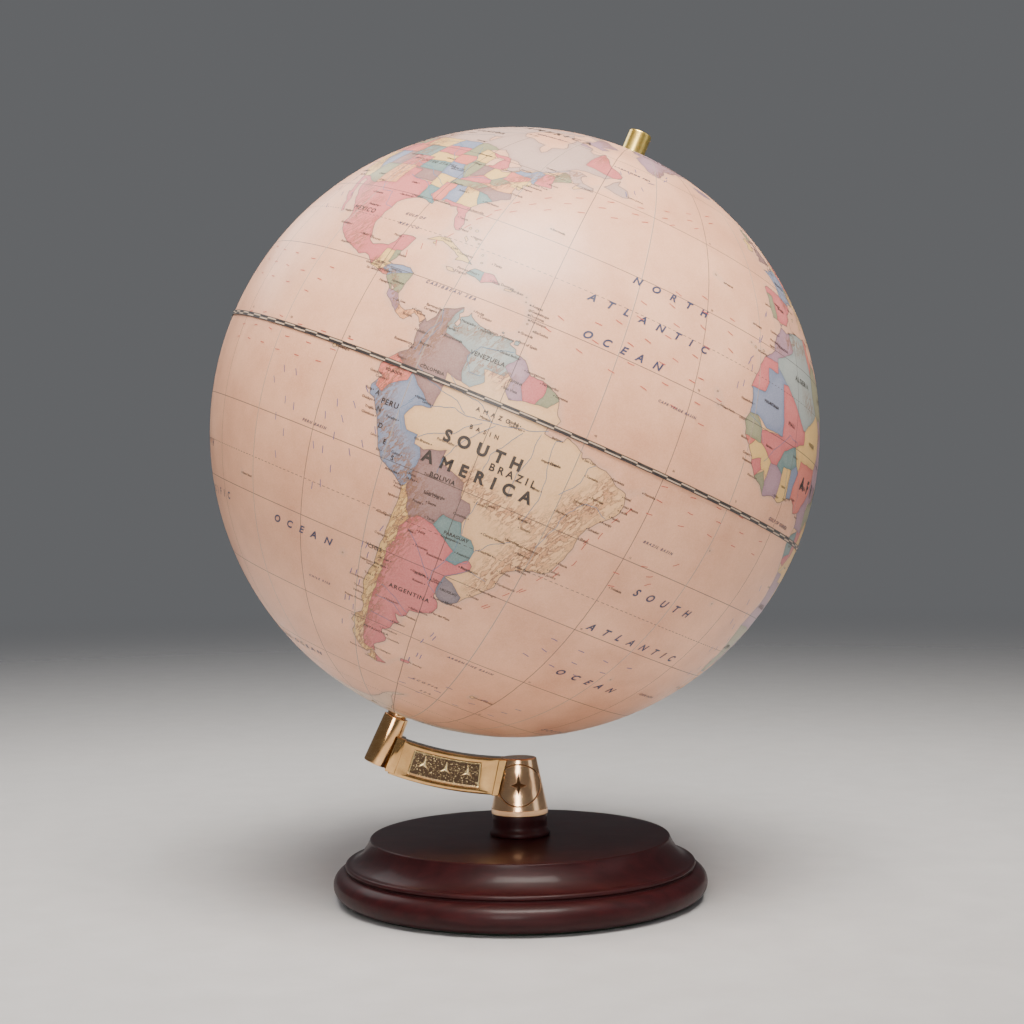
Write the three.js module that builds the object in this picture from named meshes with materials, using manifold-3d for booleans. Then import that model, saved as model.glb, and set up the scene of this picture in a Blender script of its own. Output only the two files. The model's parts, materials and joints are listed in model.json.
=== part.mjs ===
// Desktop globe on a turned wooden base: a spinning map ball, carried on a tilted axle by a short
// brass arm. Millimetres, +Z up. The origin is under the middle of the base, on the table.

import * as THREE from 'three';
import { mergeVertices } from 'three/addons/utils/BufferGeometryUtils.js';
import Module from 'manifold-3d';

const wasm = await Module();
wasm.setup();

// ---------------------------------------------------------------- driving dimensions
const gap = 0.3;                      // clearance between neighbouring pieces

const globeRadius = 152.5;            // a 12-inch ball, over its printed paper
const paperThickness = 0.3;           // room left outside the board for the printed paper
const globeCentreHeight = 234;
const axisLean = THREE.MathUtils.degToRad(23.5);
const boardThickness = 2.5;           // pressed board of the two half balls
const poleHoleRadius = 4.5;

const padThickness = 1.2;
const padRadius = 86;
const baseTop = 31;                   // height of the base's flat top
const topDiscRadius = 76;
const beadRadius = 88.5;
const baseRadius = 94.5;              // widest part of the rounded rim

const collarHeight = 11;
const postHeight = 28.2;
const postBottomRadius = 14.3;
const postTopRadius = 8.8;
const postBandHeight = 2.8;

const armInnerRadius = 164;           // measured from the middle of the globe
const armOuterRadius = 182.3;
const armWidth = 12;
const recessDepth = 1;

const tubeTop = 154.6;                // distances down the axis from the middle of the globe
const tubeBottom = 180.4;
const tubeTopRadius = 6.3;
const tubeBottomRadius = 7.1;

const axleRadius = 2.5;
const capTop = 166.5;
const capRadius = 5.9;

// ---------------------------------------------------------------- heights and helpers
const baseUnderside = padThickness + 0.1;
const collarBottom = baseTop + 0.1;
const collarTop = baseTop + collarHeight;
const postBottom = collarTop + 0.1;
const postTop = postBottom + postHeight;
const boardRadius = globeRadius - paperThickness;
const boardInnerRadius = boardRadius - boardThickness;
const deg = THREE.MathUtils.degToRad;
const point = (x, y) => new THREE.Vector2(x, y);

const finishes = {
  wood: { color: 0x2b120e, roughness: 0.25, metalness: 0 },
  brass: { color: 0xd0a468, roughness: 0.15, metalness: 1 },
  texturedBrass: { color: 0x8a6a42, roughness: 0.5, metalness: 1 },
  steel: { color: 0x9a9a9c, roughness: 0.35, metalness: 1 },
  felt: { color: 0x1d2a22, roughness: 1, metalness: 0 },
  map: { color: 0xc9ab9c, roughness: 0.45, metalness: 0 },
  board: { color: 0x9c8a72, roughness: 0.9, metalness: 0 },
  tape: { color: 0xd8cbb8, roughness: 0.5, metalness: 0 },
  nylon: { color: 0xe6e2d6, roughness: 0.5, metalness: 0 },
};

// Points along an arc, from one angle to another, both ends included.
function arc(centreX, centreY, radiusX, radiusY, from, to, steps) {
  return Array.from({ length: steps + 1 }, (_, i) => {
    const angle = deg(from + (to - from) * i / steps);
    return point(centreX + radiusX * Math.cos(angle), centreY + radiusY * Math.sin(angle));
  });
}

// A closed solid from any closed geometry, with its faces turned outwards.
function solid(geometry) {
  const bare = geometry.index ? geometry.toNonIndexed() : geometry.clone();
  bare.deleteAttribute('normal');
  bare.deleteAttribute('uv');
  const merged = mergeVertices(bare, 1e-4);
  const index = merged.index.array;
  const position = merged.attributes.position;
  const corner = (i) => new THREE.Vector3().fromBufferAttribute(position, i);
  const triangles = [];
  let volume = 0;
  for (let i = 0; i < index.length; i += 3) {
    const [a, b, c] = [index[i], index[i + 1], index[i + 2]];
    if (a === b || b === c || c === a) continue;
    triangles.push(a, b, c);
    volume += corner(a).dot(corner(b).cross(corner(c)));
  }
  if (volume < 0) triangles.reverse();
  return new wasm.Manifold(new wasm.Mesh({
    numProp: 3,
    vertProperties: new Float32Array(position.array),
    triVerts: new Uint32Array(triangles),
  }));
}

// Turned about Z: profile points are (radius, height).
const turned = (profile, segments) =>
  solid(new THREE.LatheGeometry(profile, segments).rotateX(Math.PI / 2));

// A plain turned ring or tube; its radii may taper from bottom to top.
const ring = (inner, outerBottom, outerTop, bottom, top, segments) => turned([
  point(inner, bottom), point(outerBottom, bottom), point(outerTop, top), point(inner, top),
  point(inner, bottom)], segments);

const rod = (radiusBottom, radiusTop, bottom, top, segments) => turned([
  point(0, bottom), point(radiusBottom, bottom), point(radiusTop, top), point(0, top)], segments);

// A flat outline in the X-Z plane, given a width along Y and centred on offsetY.
function plate(outline, width, offsetY = 0) {
  const geometry = new THREE.ExtrudeGeometry(new THREE.Shape(outline), { depth: width, bevelEnabled: false });
  return solid(geometry.rotateX(Math.PI / 2).translate(0, offsetY + width / 2, 0));
}

// Moves a solid by a three.js matrix.
const placed = (shape, matrix) => shape.transform(matrix.elements);

const object = new THREE.Group();
const onAxis = new THREE.Group();     // its own Z runs up the globe's axis from the ball's middle
onAxis.position.z = globeCentreHeight;
onAxis.rotation.y = axisLean;
object.add(onAxis);

function addPiece(group, name, shape, finish) {
  const mesh = shape.getMesh();
  const geometry = new THREE.BufferGeometry();
  geometry.setAttribute('position', new THREE.BufferAttribute(mesh.vertProperties, 3));
  geometry.setIndex(new THREE.BufferAttribute(mesh.triVerts, 1));
  geometry.computeVertexNormals();
  const piece = new THREE.Mesh(geometry, new THREE.MeshStandardMaterial(finishes[finish]));
  piece.name = name;
  group.add(piece);
}

// ---------------------------------------------------------------- base and its fasteners
const boltRadius = 3;
const boltHoleRadius = boltRadius + 0.4;
const counterboreRadius = 12;
const counterboreTop = 13;
const washerThickness = 1.2;
const lockWasherBottom = counterboreTop - 2 * (washerThickness + 0.1);
const boltTop = postBottom + 14;
const pinRadius = 1.3;
const pinOffset = 8.5;
const pinBottom = baseTop - 8;
const pinTop = postBottom + 8;
const roundSegments = 48;

const pinHole = () => rod(pinRadius + gap, pinRadius + gap, pinBottom - gap, pinTop + gap, 12)
  .translate([0, pinOffset, 0]);

function woodBase() {
  const edge = 1;
  const coveRadius = beadRadius - 1.4 - topDiscRadius;
  const coveBottom = baseTop - edge - coveRadius;
  const bead = 1.4;
  const rimTop = coveBottom - 2 * bead - 0.5;
  const rimHalf = (rimTop - baseUnderside) / 2;
  const rimCentre = baseRadius - 7.5;
  const profile = [
    point(boltHoleRadius, baseTop),
    ...arc(topDiscRadius - edge, baseTop - edge, edge, edge, 90, 0, 3),
    ...arc(topDiscRadius + coveRadius, baseTop - edge, coveRadius, coveRadius, 186, 270, 6),
    ...arc(beadRadius - bead, coveBottom - bead, bead, bead, 80, -90, 4),
    ...arc(rimCentre, baseUnderside + rimHalf, baseRadius - rimCentre, rimHalf, 88, -90, 8),
    point(counterboreRadius, baseUnderside),
    point(counterboreRadius, counterboreTop),
    point(boltHoleRadius, counterboreTop),
    point(boltHoleRadius, baseTop),
  ];
  return turned(profile, roundSegments).subtract(pinHole());
}

function woodCollar() {
  const waistRadius = postBottomRadius - 0.6;
  const footRadius = waistRadius + 1.6;
  const foot = collarBottom + 2.4;
  const profile = [
    point(boltHoleRadius, collarTop),
    point(waistRadius, collarTop),
    point(waistRadius + 0.1, foot + 4.6),
    point(waistRadius + 0.6, foot + 1.6),
    ...arc(footRadius - 1.2, foot - 1.2, 1.2, 1.2, 50, -50, 4),
    point(footRadius - 0.9, collarBottom),
    point(boltHoleRadius, collarBottom),
    point(boltHoleRadius, collarTop),
  ];
  return turned(profile, 32).subtract(pinHole());
}

function hexBolt() {
  const headHeight = 4;
  const headTop = lockWasherBottom - 0.1;
  const head = rod(5.6, 5.6, headTop - headHeight, headTop, 6);
  return head.add(rod(boltRadius, boltRadius, headTop - 1, boltTop, 16));
}

// A washer cut through at one side, as a spring washer is.
function lockWasher() {
  const opening = deg(4);
  const outline = new THREE.Shape();
  outline.absarc(0, 0, 6, opening, 2 * Math.PI - opening, false);
  outline.absarc(0, 0, boltHoleRadius, 2 * Math.PI - opening, opening, true);
  const geometry = new THREE.ExtrudeGeometry(outline, {
    depth: washerThickness, bevelEnabled: false, curveSegments: 20,
  });
  return solid(geometry.translate(0, 0, lockWasherBottom));
}

const flatWasherTop = counterboreTop - 0.1;
addPiece(object, 'felt_pad', rod(padRadius, padRadius, 0, padThickness, roundSegments), 'felt');
addPiece(object, 'wood_base', woodBase(), 'wood');
addPiece(object, 'wood_collar', woodCollar(), 'wood');
addPiece(object, 'base_bolt', hexBolt(), 'steel');
addPiece(object, 'lock_washer', lockWasher(), 'steel');
addPiece(object, 'flat_washer',
  ring(boltHoleRadius, 7.5, 7.5, flatWasherTop - washerThickness, flatWasherTop, 24), 'steel');
addPiece(object, 'locating_pin',
  rod(pinRadius, pinRadius, pinBottom, pinTop, 12).translate([0, pinOffset, 0]), 'steel');

// ---------------------------------------------------------------- post, arm and tube
const coneBottom = postBottom + postBandHeight;
const coneSlope = Math.atan2(postBottomRadius - 0.1 - postTopRadius, postTop - coneBottom);
const studHeight = postBottom + 15;
const studRadius = 1.8;
const studEnds = [-9, 5.5];           // along the stud, from the skin of the post's cone
const armStart = 4.4;                 // degrees from straight down, measured at the globe's middle
const armEnd = 20.4;
const panelInset = 2.6;
const panelSpan = [6.6, 18.5];
const axisAngle = THREE.MathUtils.radToDeg(axisLean);

// The post's outside, grown by a clearance.
function postBody(growth) {
  return turned([
    point(0, postBottom - growth),
    point(postBottomRadius + growth, postBottom - growth),
    point(postBottomRadius + growth, coneBottom),
    point(postBottomRadius - 0.1 + growth, coneBottom),
    point(postTopRadius + growth, postTop - 0.6),
    point(postTopRadius - 0.6 + growth, postTop + growth),
    point(0, postTop + growth),
  ], 40);
}

// A round bar along the stud's line, which runs square to the cone's skin on the arm's side.
function studBar(radius, from, to) {
  const skinRadius = postBottomRadius - 0.1 - (studHeight - coneBottom) * Math.tan(coneSlope);
  const matrix = new THREE.Matrix4().makeTranslation(-skinRadius, 0, studHeight)
    .multiply(new THREE.Matrix4().makeRotationY(Math.PI / 2 + coneSlope));
  return placed(rod(radius, radius, from, to, 12), matrix);
}

function post() {
  const bore = rod(boltHoleRadius, boltHoleRadius, postBottom - 1, boltTop + 1, 16);
  return postBody(0)
    .subtract(bore)
    .subtract(pinHole())
    .subtract(studBar(studRadius + gap, -3, studEnds[1] + gap));
}

// A stretch of ring in the X-Z plane, with angles in degrees from straight down towards -X.
function ringOutline(inner, outer, from, to, steps = 8) {
  const along = (radius, start, end) => Array.from({ length: steps + 1 }, (_, i) => {
    const angle = deg(start + (end - start) * i / steps);
    return point(-radius * Math.sin(angle), globeCentreHeight - radius * Math.cos(angle));
  });
  return [...along(inner, from, to), ...along(outer, to, from)];
}

// The plate at the post's end of the arm, laid against the cone.
function postFlange() {
  const thickness = 1.6;
  const bottom = studHeight - 5.2;
  const top = studHeight + 12.8;
  const skin = (height) => -(postBottomRadius - (height - coneBottom) * Math.tan(coneSlope));
  const depthIntoCone = 4;
  return plate([
    point(skin(bottom) - thickness, bottom), point(skin(bottom) + depthIntoCone, bottom),
    point(skin(top) + depthIntoCone, top), point(skin(top) - thickness, top),
  ], armWidth + 1);
}

const downAxis = new THREE.Matrix4().makeTranslation(0, 0, globeCentreHeight)
  .multiply(new THREE.Matrix4().makeRotationY(axisLean));
const tubeBody = (growth) =>
  rod(tubeBottomRadius + growth, tubeTopRadius + growth, -tubeBottom - growth, -tubeTop + growth, 32);

const panelOutline = (inset) => ringOutline(
  armInnerRadius + panelInset + inset, armOuterRadius - panelInset - inset,
  panelSpan[0] + inset * 0.33, panelSpan[1] - inset * 0.33);

function arm() {
  const bar = plate(ringOutline(armInnerRadius, armOuterRadius, armStart - 2, armEnd + 1), armWidth);
  const tubeFlange = plate(
    ringOutline(armInnerRadius - 0.6, armOuterRadius - 0.8, armEnd, armEnd + 1.6, 2), armWidth + 1);
  const recess = (side) => plate(panelOutline(0), 2 * recessDepth, side * armWidth / 2);
  return bar.add(postFlange()).add(tubeFlange)
    .subtract(postBody(gap))
    .subtract(placed(tubeBody(gap), downAxis))
    .subtract(recess(-1))
    .subtract(recess(1))
    .subtract(studBar(studRadius + gap, studEnds[0] - gap, 3));
}

const panelThickness = 0.6;
const panelOffset = armWidth / 2 - recessDepth + 0.1 + panelThickness / 2;
const panel = (side) => plate(panelOutline(0.2), panelThickness, side * panelOffset);

addPiece(object, 'brass_post', post(), 'brass');
addPiece(object, 'brass_arm', arm(), 'brass');
addPiece(object, 'front_arm_panel', panel(-1), 'texturedBrass');
addPiece(object, 'rear_arm_panel', panel(1), 'texturedBrass');
addPiece(object, 'arm_stud', studBar(studRadius, studEnds[0], studEnds[1]), 'steel');

const setScrewHeight = -169;
const setScrewRadius = 1.25;
const endPlugRadius = 4.8;
const endPlugDepth = 2;

// A short round bar pointing out of the tube's back, for the set screw and its hole.
const radialBar = (radius, from, to) =>
  rod(radius, radius, from, to, 12).rotate([-90, 0, 0]).translate([0, 0, setScrewHeight]);

function southTube() {
  const boreRadius = axleRadius + 0.4;
  return tubeBody(0)
    .subtract(rod(boreRadius, boreRadius, -tubeBottom - 1, -tubeTop + 1, 20))
    .subtract(rod(endPlugRadius + gap, endPlugRadius + gap,
      -tubeBottom - 1, -tubeBottom + endPlugDepth + gap, 24))
    .subtract(radialBar(setScrewRadius + gap, 1, 10));
}

const axleBottom = -tubeBottom + endPlugDepth + 2 * gap;
const axleTop = capTop - 3.2;
addPiece(onAxis, 'south_tube', southTube(), 'brass');
addPiece(onAxis, 'tube_end_plug',
  rod(endPlugRadius, endPlugRadius, -tubeBottom + 0.2, -tubeBottom + endPlugDepth, 24), 'brass');
addPiece(onAxis, 'tube_set_screw', radialBar(setScrewRadius, axleRadius + gap, 6), 'steel');
addPiece(onAxis, 'axle_rod', rod(axleRadius, axleRadius, axleBottom, axleTop, 16), 'steel');
addPiece(onAxis, 'spacer_ring',
  ring(axleRadius + 0.4, 5, 5, -tubeTop + gap, -globeRadius - gap, 24), 'brass');

// The knob screwed on the top end of the axle.
function northCap() {
  const bottom = globeRadius + gap;
  const edge = 0.9;
  const socketRadius = axleRadius + 0.35;
  return turned([
    point(socketRadius, bottom),
    point(capRadius, bottom),
    ...arc(capRadius - edge, capTop - edge, edge, edge, 0, 90, 3),
    point(0, capTop),
    point(0, axleTop + gap),
    point(socketRadius, axleTop + gap),
    point(socketRadius, bottom),
  ], 28);
}
addPiece(onAxis, 'north_cap', northCap(), 'brass');

// ---------------------------------------------------------------- the ball, which turns on the axle
const meridians = 48;
const latitudeSteps = 10;
const bushRadius = 4.1;
const bushInnerEnd = 142;

// One half of the ball: side is 1 for the north and -1 for the south.
function halfBall(side) {
  const poleAngle = THREE.MathUtils.radToDeg(Math.asin(poleHoleRadius / boardInnerRadius));
  const lowest = gap / 2;
  const outer = arc(0, 0, boardRadius, boardRadius, 0, 90 - poleAngle, latitudeSteps);
  const inner = arc(0, 0, boardInnerRadius, boardInnerRadius, 90 - poleAngle, 0, latitudeSteps);
  const profile = [...outer, ...inner].map((p) => point(p.x, side * Math.max(p.y, lowest)));
  profile.push(profile[0].clone());
  return turned(profile, meridians);
}

const bush = (side) => ring(axleRadius + 0.4, bushRadius, bushRadius,
  Math.min(side * bushInnerEnd, side * (globeRadius - 0.1)),
  Math.max(side * bushInnerEnd, side * (globeRadius - 0.1)), 20);

function poleDisc(side) {
  const [near, far] = [side * 142.5, side * 147.4];
  return ring(bushRadius + gap, 20, 20, Math.min(near, far), Math.max(near, far), 32);
}

for (const [name, side] of [['northern', 1], ['southern', -1]]) {
  addPiece(onAxis, `${name}_hemisphere`, halfBall(side), 'map');
  addPiece(onAxis, `${name}_pole_disc`, poleDisc(side), 'board');
  addPiece(onAxis, `${name}_bush`, bush(side), 'nylon');
}

const tapeHalfWidth = 1.15;
const tapeInner = globeRadius + 0.15;
addPiece(onAxis, 'equator_tape',
  ring(tapeInner, tapeInner + 0.3, tapeInner + 0.3, -tapeHalfWidth, tapeHalfWidth, meridians), 'tape');
const joinOuter = boardInnerRadius - 1.1;
addPiece(onAxis, 'inner_joining_ring',
  ring(joinOuter - 2, joinOuter, joinOuter, -10, 10, meridians), 'board');

object.updateMatrixWorld(true);
export default object;
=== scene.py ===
"""Looks of a desktop globe: printed map ball, brass arm and post, turned mahogany base."""
import json
import math
import random

import bmesh
import bpy
import numpy as np
from mathutils import Matrix, Vector, geometry, kdtree, noise


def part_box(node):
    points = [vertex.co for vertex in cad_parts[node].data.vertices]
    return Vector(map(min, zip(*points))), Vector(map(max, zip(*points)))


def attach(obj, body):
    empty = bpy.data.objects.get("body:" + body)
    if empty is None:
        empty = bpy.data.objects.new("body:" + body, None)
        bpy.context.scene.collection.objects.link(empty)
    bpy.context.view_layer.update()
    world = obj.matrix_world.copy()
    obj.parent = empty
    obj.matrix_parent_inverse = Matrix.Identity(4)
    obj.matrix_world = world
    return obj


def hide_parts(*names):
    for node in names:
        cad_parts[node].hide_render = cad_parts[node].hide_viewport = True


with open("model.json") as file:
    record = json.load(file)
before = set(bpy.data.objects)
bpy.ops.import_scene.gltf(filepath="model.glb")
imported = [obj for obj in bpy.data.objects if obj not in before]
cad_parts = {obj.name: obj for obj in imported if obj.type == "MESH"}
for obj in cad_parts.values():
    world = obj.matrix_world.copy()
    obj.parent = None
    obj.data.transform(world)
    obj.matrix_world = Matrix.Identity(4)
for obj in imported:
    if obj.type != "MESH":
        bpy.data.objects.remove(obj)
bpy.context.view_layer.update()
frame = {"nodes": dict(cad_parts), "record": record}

# ------------------------------------------------------------------ sizes, in millimetres
MM = 0.001
SPIN = next(j for j in frame["record"]["behaviour"]["joints"] if j["name"] == "globe_spin")
CENTRE = Vector(SPIN["pos_m"]) / MM
AXIS = Vector(SPIN["axis"]).normalized()
FRONT = Vector((0, -1, 0))
EAST = AXIS.cross(FRONT)
LEAN = math.acos(AXIS.z)
PAPER = 0.3
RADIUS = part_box("northern_hemisphere")[1].y / MM + PAPER
FRONT_LONGITUDE = -53.5        # the meridian that faces the row's front
GORE_WIDTH = 30
FIRST_SEAM = -165
POLAR_EDGE = 83.6              # the latitude where the polar discs end
EDGE_GAP = 0.02                # degrees left between a gore and its seam
FULL_DEPTH = 5.0               # how far from a border, in millimetres, distances are told
PRINT_HEIGHT = 0.05            # how far ink pieces stand off the paper
CAPITAL = 0.729                # a capital's height as a share of the letters' size
BOLT_HOLE = 3.4                # radius of the bolt's hole through the base, collar and post
PIN_HOLE = 1.6


def mm_box(node):
    low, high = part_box(node)
    return low / MM, high / MM


def on_ball(lon, lat, radius=RADIUS):
    """Points of the ball, in millimetres in the row frame, from arrays of degrees."""
    turn = np.radians(np.asarray(lon, float) - FRONT_LONGITUDE)
    rise = np.radians(np.asarray(lat, float))
    flat = np.cos(rise) * radius
    return (np.multiply.outer(flat * np.cos(turn), np.array(FRONT))
            + np.multiply.outer(flat * np.sin(turn), np.array(EAST))
            + np.multiply.outer(np.sin(rise) * radius, np.array(AXIS))
            + np.array(CENTRE))


def to_row(points):
    """Points given in the axle's own frame, Z up the axle from the ball's middle, to the row frame."""
    matrix = Matrix.Translation(CENTRE) @ Matrix.Rotation(LEAN, 4, "Y")
    return [matrix @ Vector(p) for p in points]


# ------------------------------------------------------------------ shader sheets
class Value:
    """A shader socket that takes part in ordinary sums: each one adds its Math node."""

    def __init__(self, sheet, socket):
        self.sheet = sheet
        self.socket = socket

    def maths(self, operation, *others, flipped=False):
        terms = [self, *others]
        if flipped:
            terms.reverse()
        return self.sheet.node("Math", {"operation": operation}, dict(enumerate(terms)))

    def __add__(self, other):
        return self.maths("ADD", other)

    def __radd__(self, other):
        return self.maths("ADD", other)

    def __sub__(self, other):
        return self.maths("SUBTRACT", other)

    def __rsub__(self, other):
        return self.maths("SUBTRACT", other, flipped=True)

    def __mul__(self, other):
        return self.maths("MULTIPLY", other)

    def __truediv__(self, other):
        return self.maths("DIVIDE", other)

    def __pow__(self, other):
        return self.maths("POWER", other)

    def __lt__(self, other):
        return self.maths("LESS_THAN", other)

    def __gt__(self, other):
        return self.maths("GREATER_THAN", other)

    def abs(self):
        return self.maths("ABSOLUTE")

    def clamp(self):
        return self.maths("MINIMUM", 1.0).maths("MAXIMUM", 0.0)


class Sheet:
    """One material, written as expressions."""

    def __init__(self, name):
        self.material = bpy.data.materials.new(name)
        self.material.use_nodes = True
        self.tree = self.material.node_tree
        self.shader = self.tree.nodes["Principled BSDF"]

    def node(self, kind, settings=None, inputs=None, output=0):
        made = self.tree.nodes.new("ShaderNode" + kind)
        for key, setting in (settings or {}).items():
            if key == "stops":
                ramp = made.color_ramp
                while len(ramp.elements) < len(setting):
                    ramp.elements.new(0.5)
                for element, (place, colour) in zip(ramp.elements, setting):
                    element.position = place
                    element.color = colour if len(colour) == 4 else (*colour, 1)
            else:
                setattr(made, key, setting)
        for key, value in (inputs or {}).items():
            self.feed(made.inputs[key], value)
        return Value(self, made.outputs[output])

    def feed(self, socket, value):
        if isinstance(value, Value):
            self.tree.links.new(value.socket, socket)
        elif socket.type == "RGBA" and len(value) == 3:
            socket.default_value = (*value, 1)
        else:
            socket.default_value = value

    def attribute(self, name, output="Fac"):
        return self.node("Attribute", {"attribute_name": name}, output=output)

    def place(self):
        return self.node("TexCoord", output="Object")

    def scaled(self, vector, scale):
        return self.node("VectorMath", {"operation": "MULTIPLY"}, {0: vector, 1: scale})

    def noise(self, scale, detail=3.0, vector=None, output="Fac", roughness=0.5):
        return self.node("TexNoise", inputs={
            "Vector": vector or self.place(), "Scale": scale, "Detail": detail, "Roughness": roughness,
        }, output=output)

    def ramp(self, value, *stops):
        return self.node("ValToRGB", {"stops": stops}, {"Fac": value}, output="Color")

    def span(self, value, low, high, to_low=0.0, to_high=1.0):
        return self.node("MapRange", {"clamp": True}, {
            "Value": value, "From Min": low, "From Max": high, "To Min": to_low, "To Max": to_high})

    def mix(self, amount, first, second):
        return self.node("Mix", {"data_type": "RGBA"}, {0: amount, 6: first, 7: second}, output=2)

    def bump(self, height, distance, strength=1.0):
        return self.node("Bump", inputs={"Strength": strength, "Distance": distance, "Height": height},
                         output="Normal")

    def finish(self, **sockets):
        for name, value in sockets.items():
            self.feed(self.shader.inputs[name.replace("_", " ")], value)
        return self.material


# ------------------------------------------------------------------ making pieces
def smoothed(piece, sharp):
    """Smooth shading, but for edges that turn by more than some degrees."""
    piece.data.shade_smooth()
    piece.data.set_sharp_from_angle(angle=math.radians(sharp))


def field(mesh, name, values):
    """Writes one number for each point, for the finishes to read."""
    layer = mesh.attributes.new(name, "FLOAT", "POINT")
    layer.data.foreach_set("value", np.asarray(values, np.float32))


def inked(mesh, colours):
    """Writes one colour for each corner of each face."""
    layer = mesh.attributes.new("ink", "FLOAT_COLOR", "CORNER")
    layer.data.foreach_set("color", np.asarray(colours, np.float32).ravel())


def new_piece(name, points, faces, body, slot, finish, sharp=None):
    """A mesh piece from points in millimetres in the row frame, riding on a body."""
    mesh = bpy.data.meshes.new(name)
    mesh.from_pydata([Vector(p) * MM for p in points], [], faces)
    mesh.validate()
    mesh.materials.append(finish)
    mesh.shade_smooth()
    if sharp:
        mesh.set_sharp_from_angle(angle=math.radians(sharp))
    piece = bpy.data.objects.new(name, mesh)
    bpy.context.scene.collection.objects.link(piece)
    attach(piece, body)
    return piece


def outwards(piece):
    """Turns a closed piece's faces outwards."""
    work = bmesh.new()
    work.from_mesh(piece.data)
    bmesh.ops.recalc_face_normals(work, faces=work.faces)
    work.to_mesh(piece.data)
    work.free()


def arc(centre_x, centre_y, radius_x, radius_y, start, end, steps):
    """Points of an arc between two angles in degrees, both ends included."""
    angles = [math.radians(start + (end - start) * i / steps) for i in range(steps + 1)]
    return [(centre_x + radius_x * math.cos(a), centre_y + radius_y * math.sin(a)) for a in angles]


def turned(profile, segments=192, closed=False):
    """Points and faces of a turned form about Z. The profile is (radius, height) pairs."""
    points = []
    rows = []
    for radius, height in profile:
        if radius < 1e-6:
            rows.append([len(points)] * segments)
            points.append((0, 0, height))
            continue
        rows.append(list(range(len(points), len(points) + segments)))
        for i in range(segments):
            angle = 2 * math.pi * i / segments
            points.append((radius * math.cos(angle), radius * math.sin(angle), height))
    pairs = list(zip(rows, rows[1:]))
    if closed:
        pairs.append((rows[-1], rows[0]))
    faces = []
    for low, high in pairs:
        for i in range(segments):
            j = (i + 1) % segments
            corners = [low[i], low[j], high[j], high[i]]
            kept = [c for n, c in enumerate(corners) if c != corners[n - 1]]
            if len(kept) > 2:
                faces.append(kept)
    return points, faces


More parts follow.
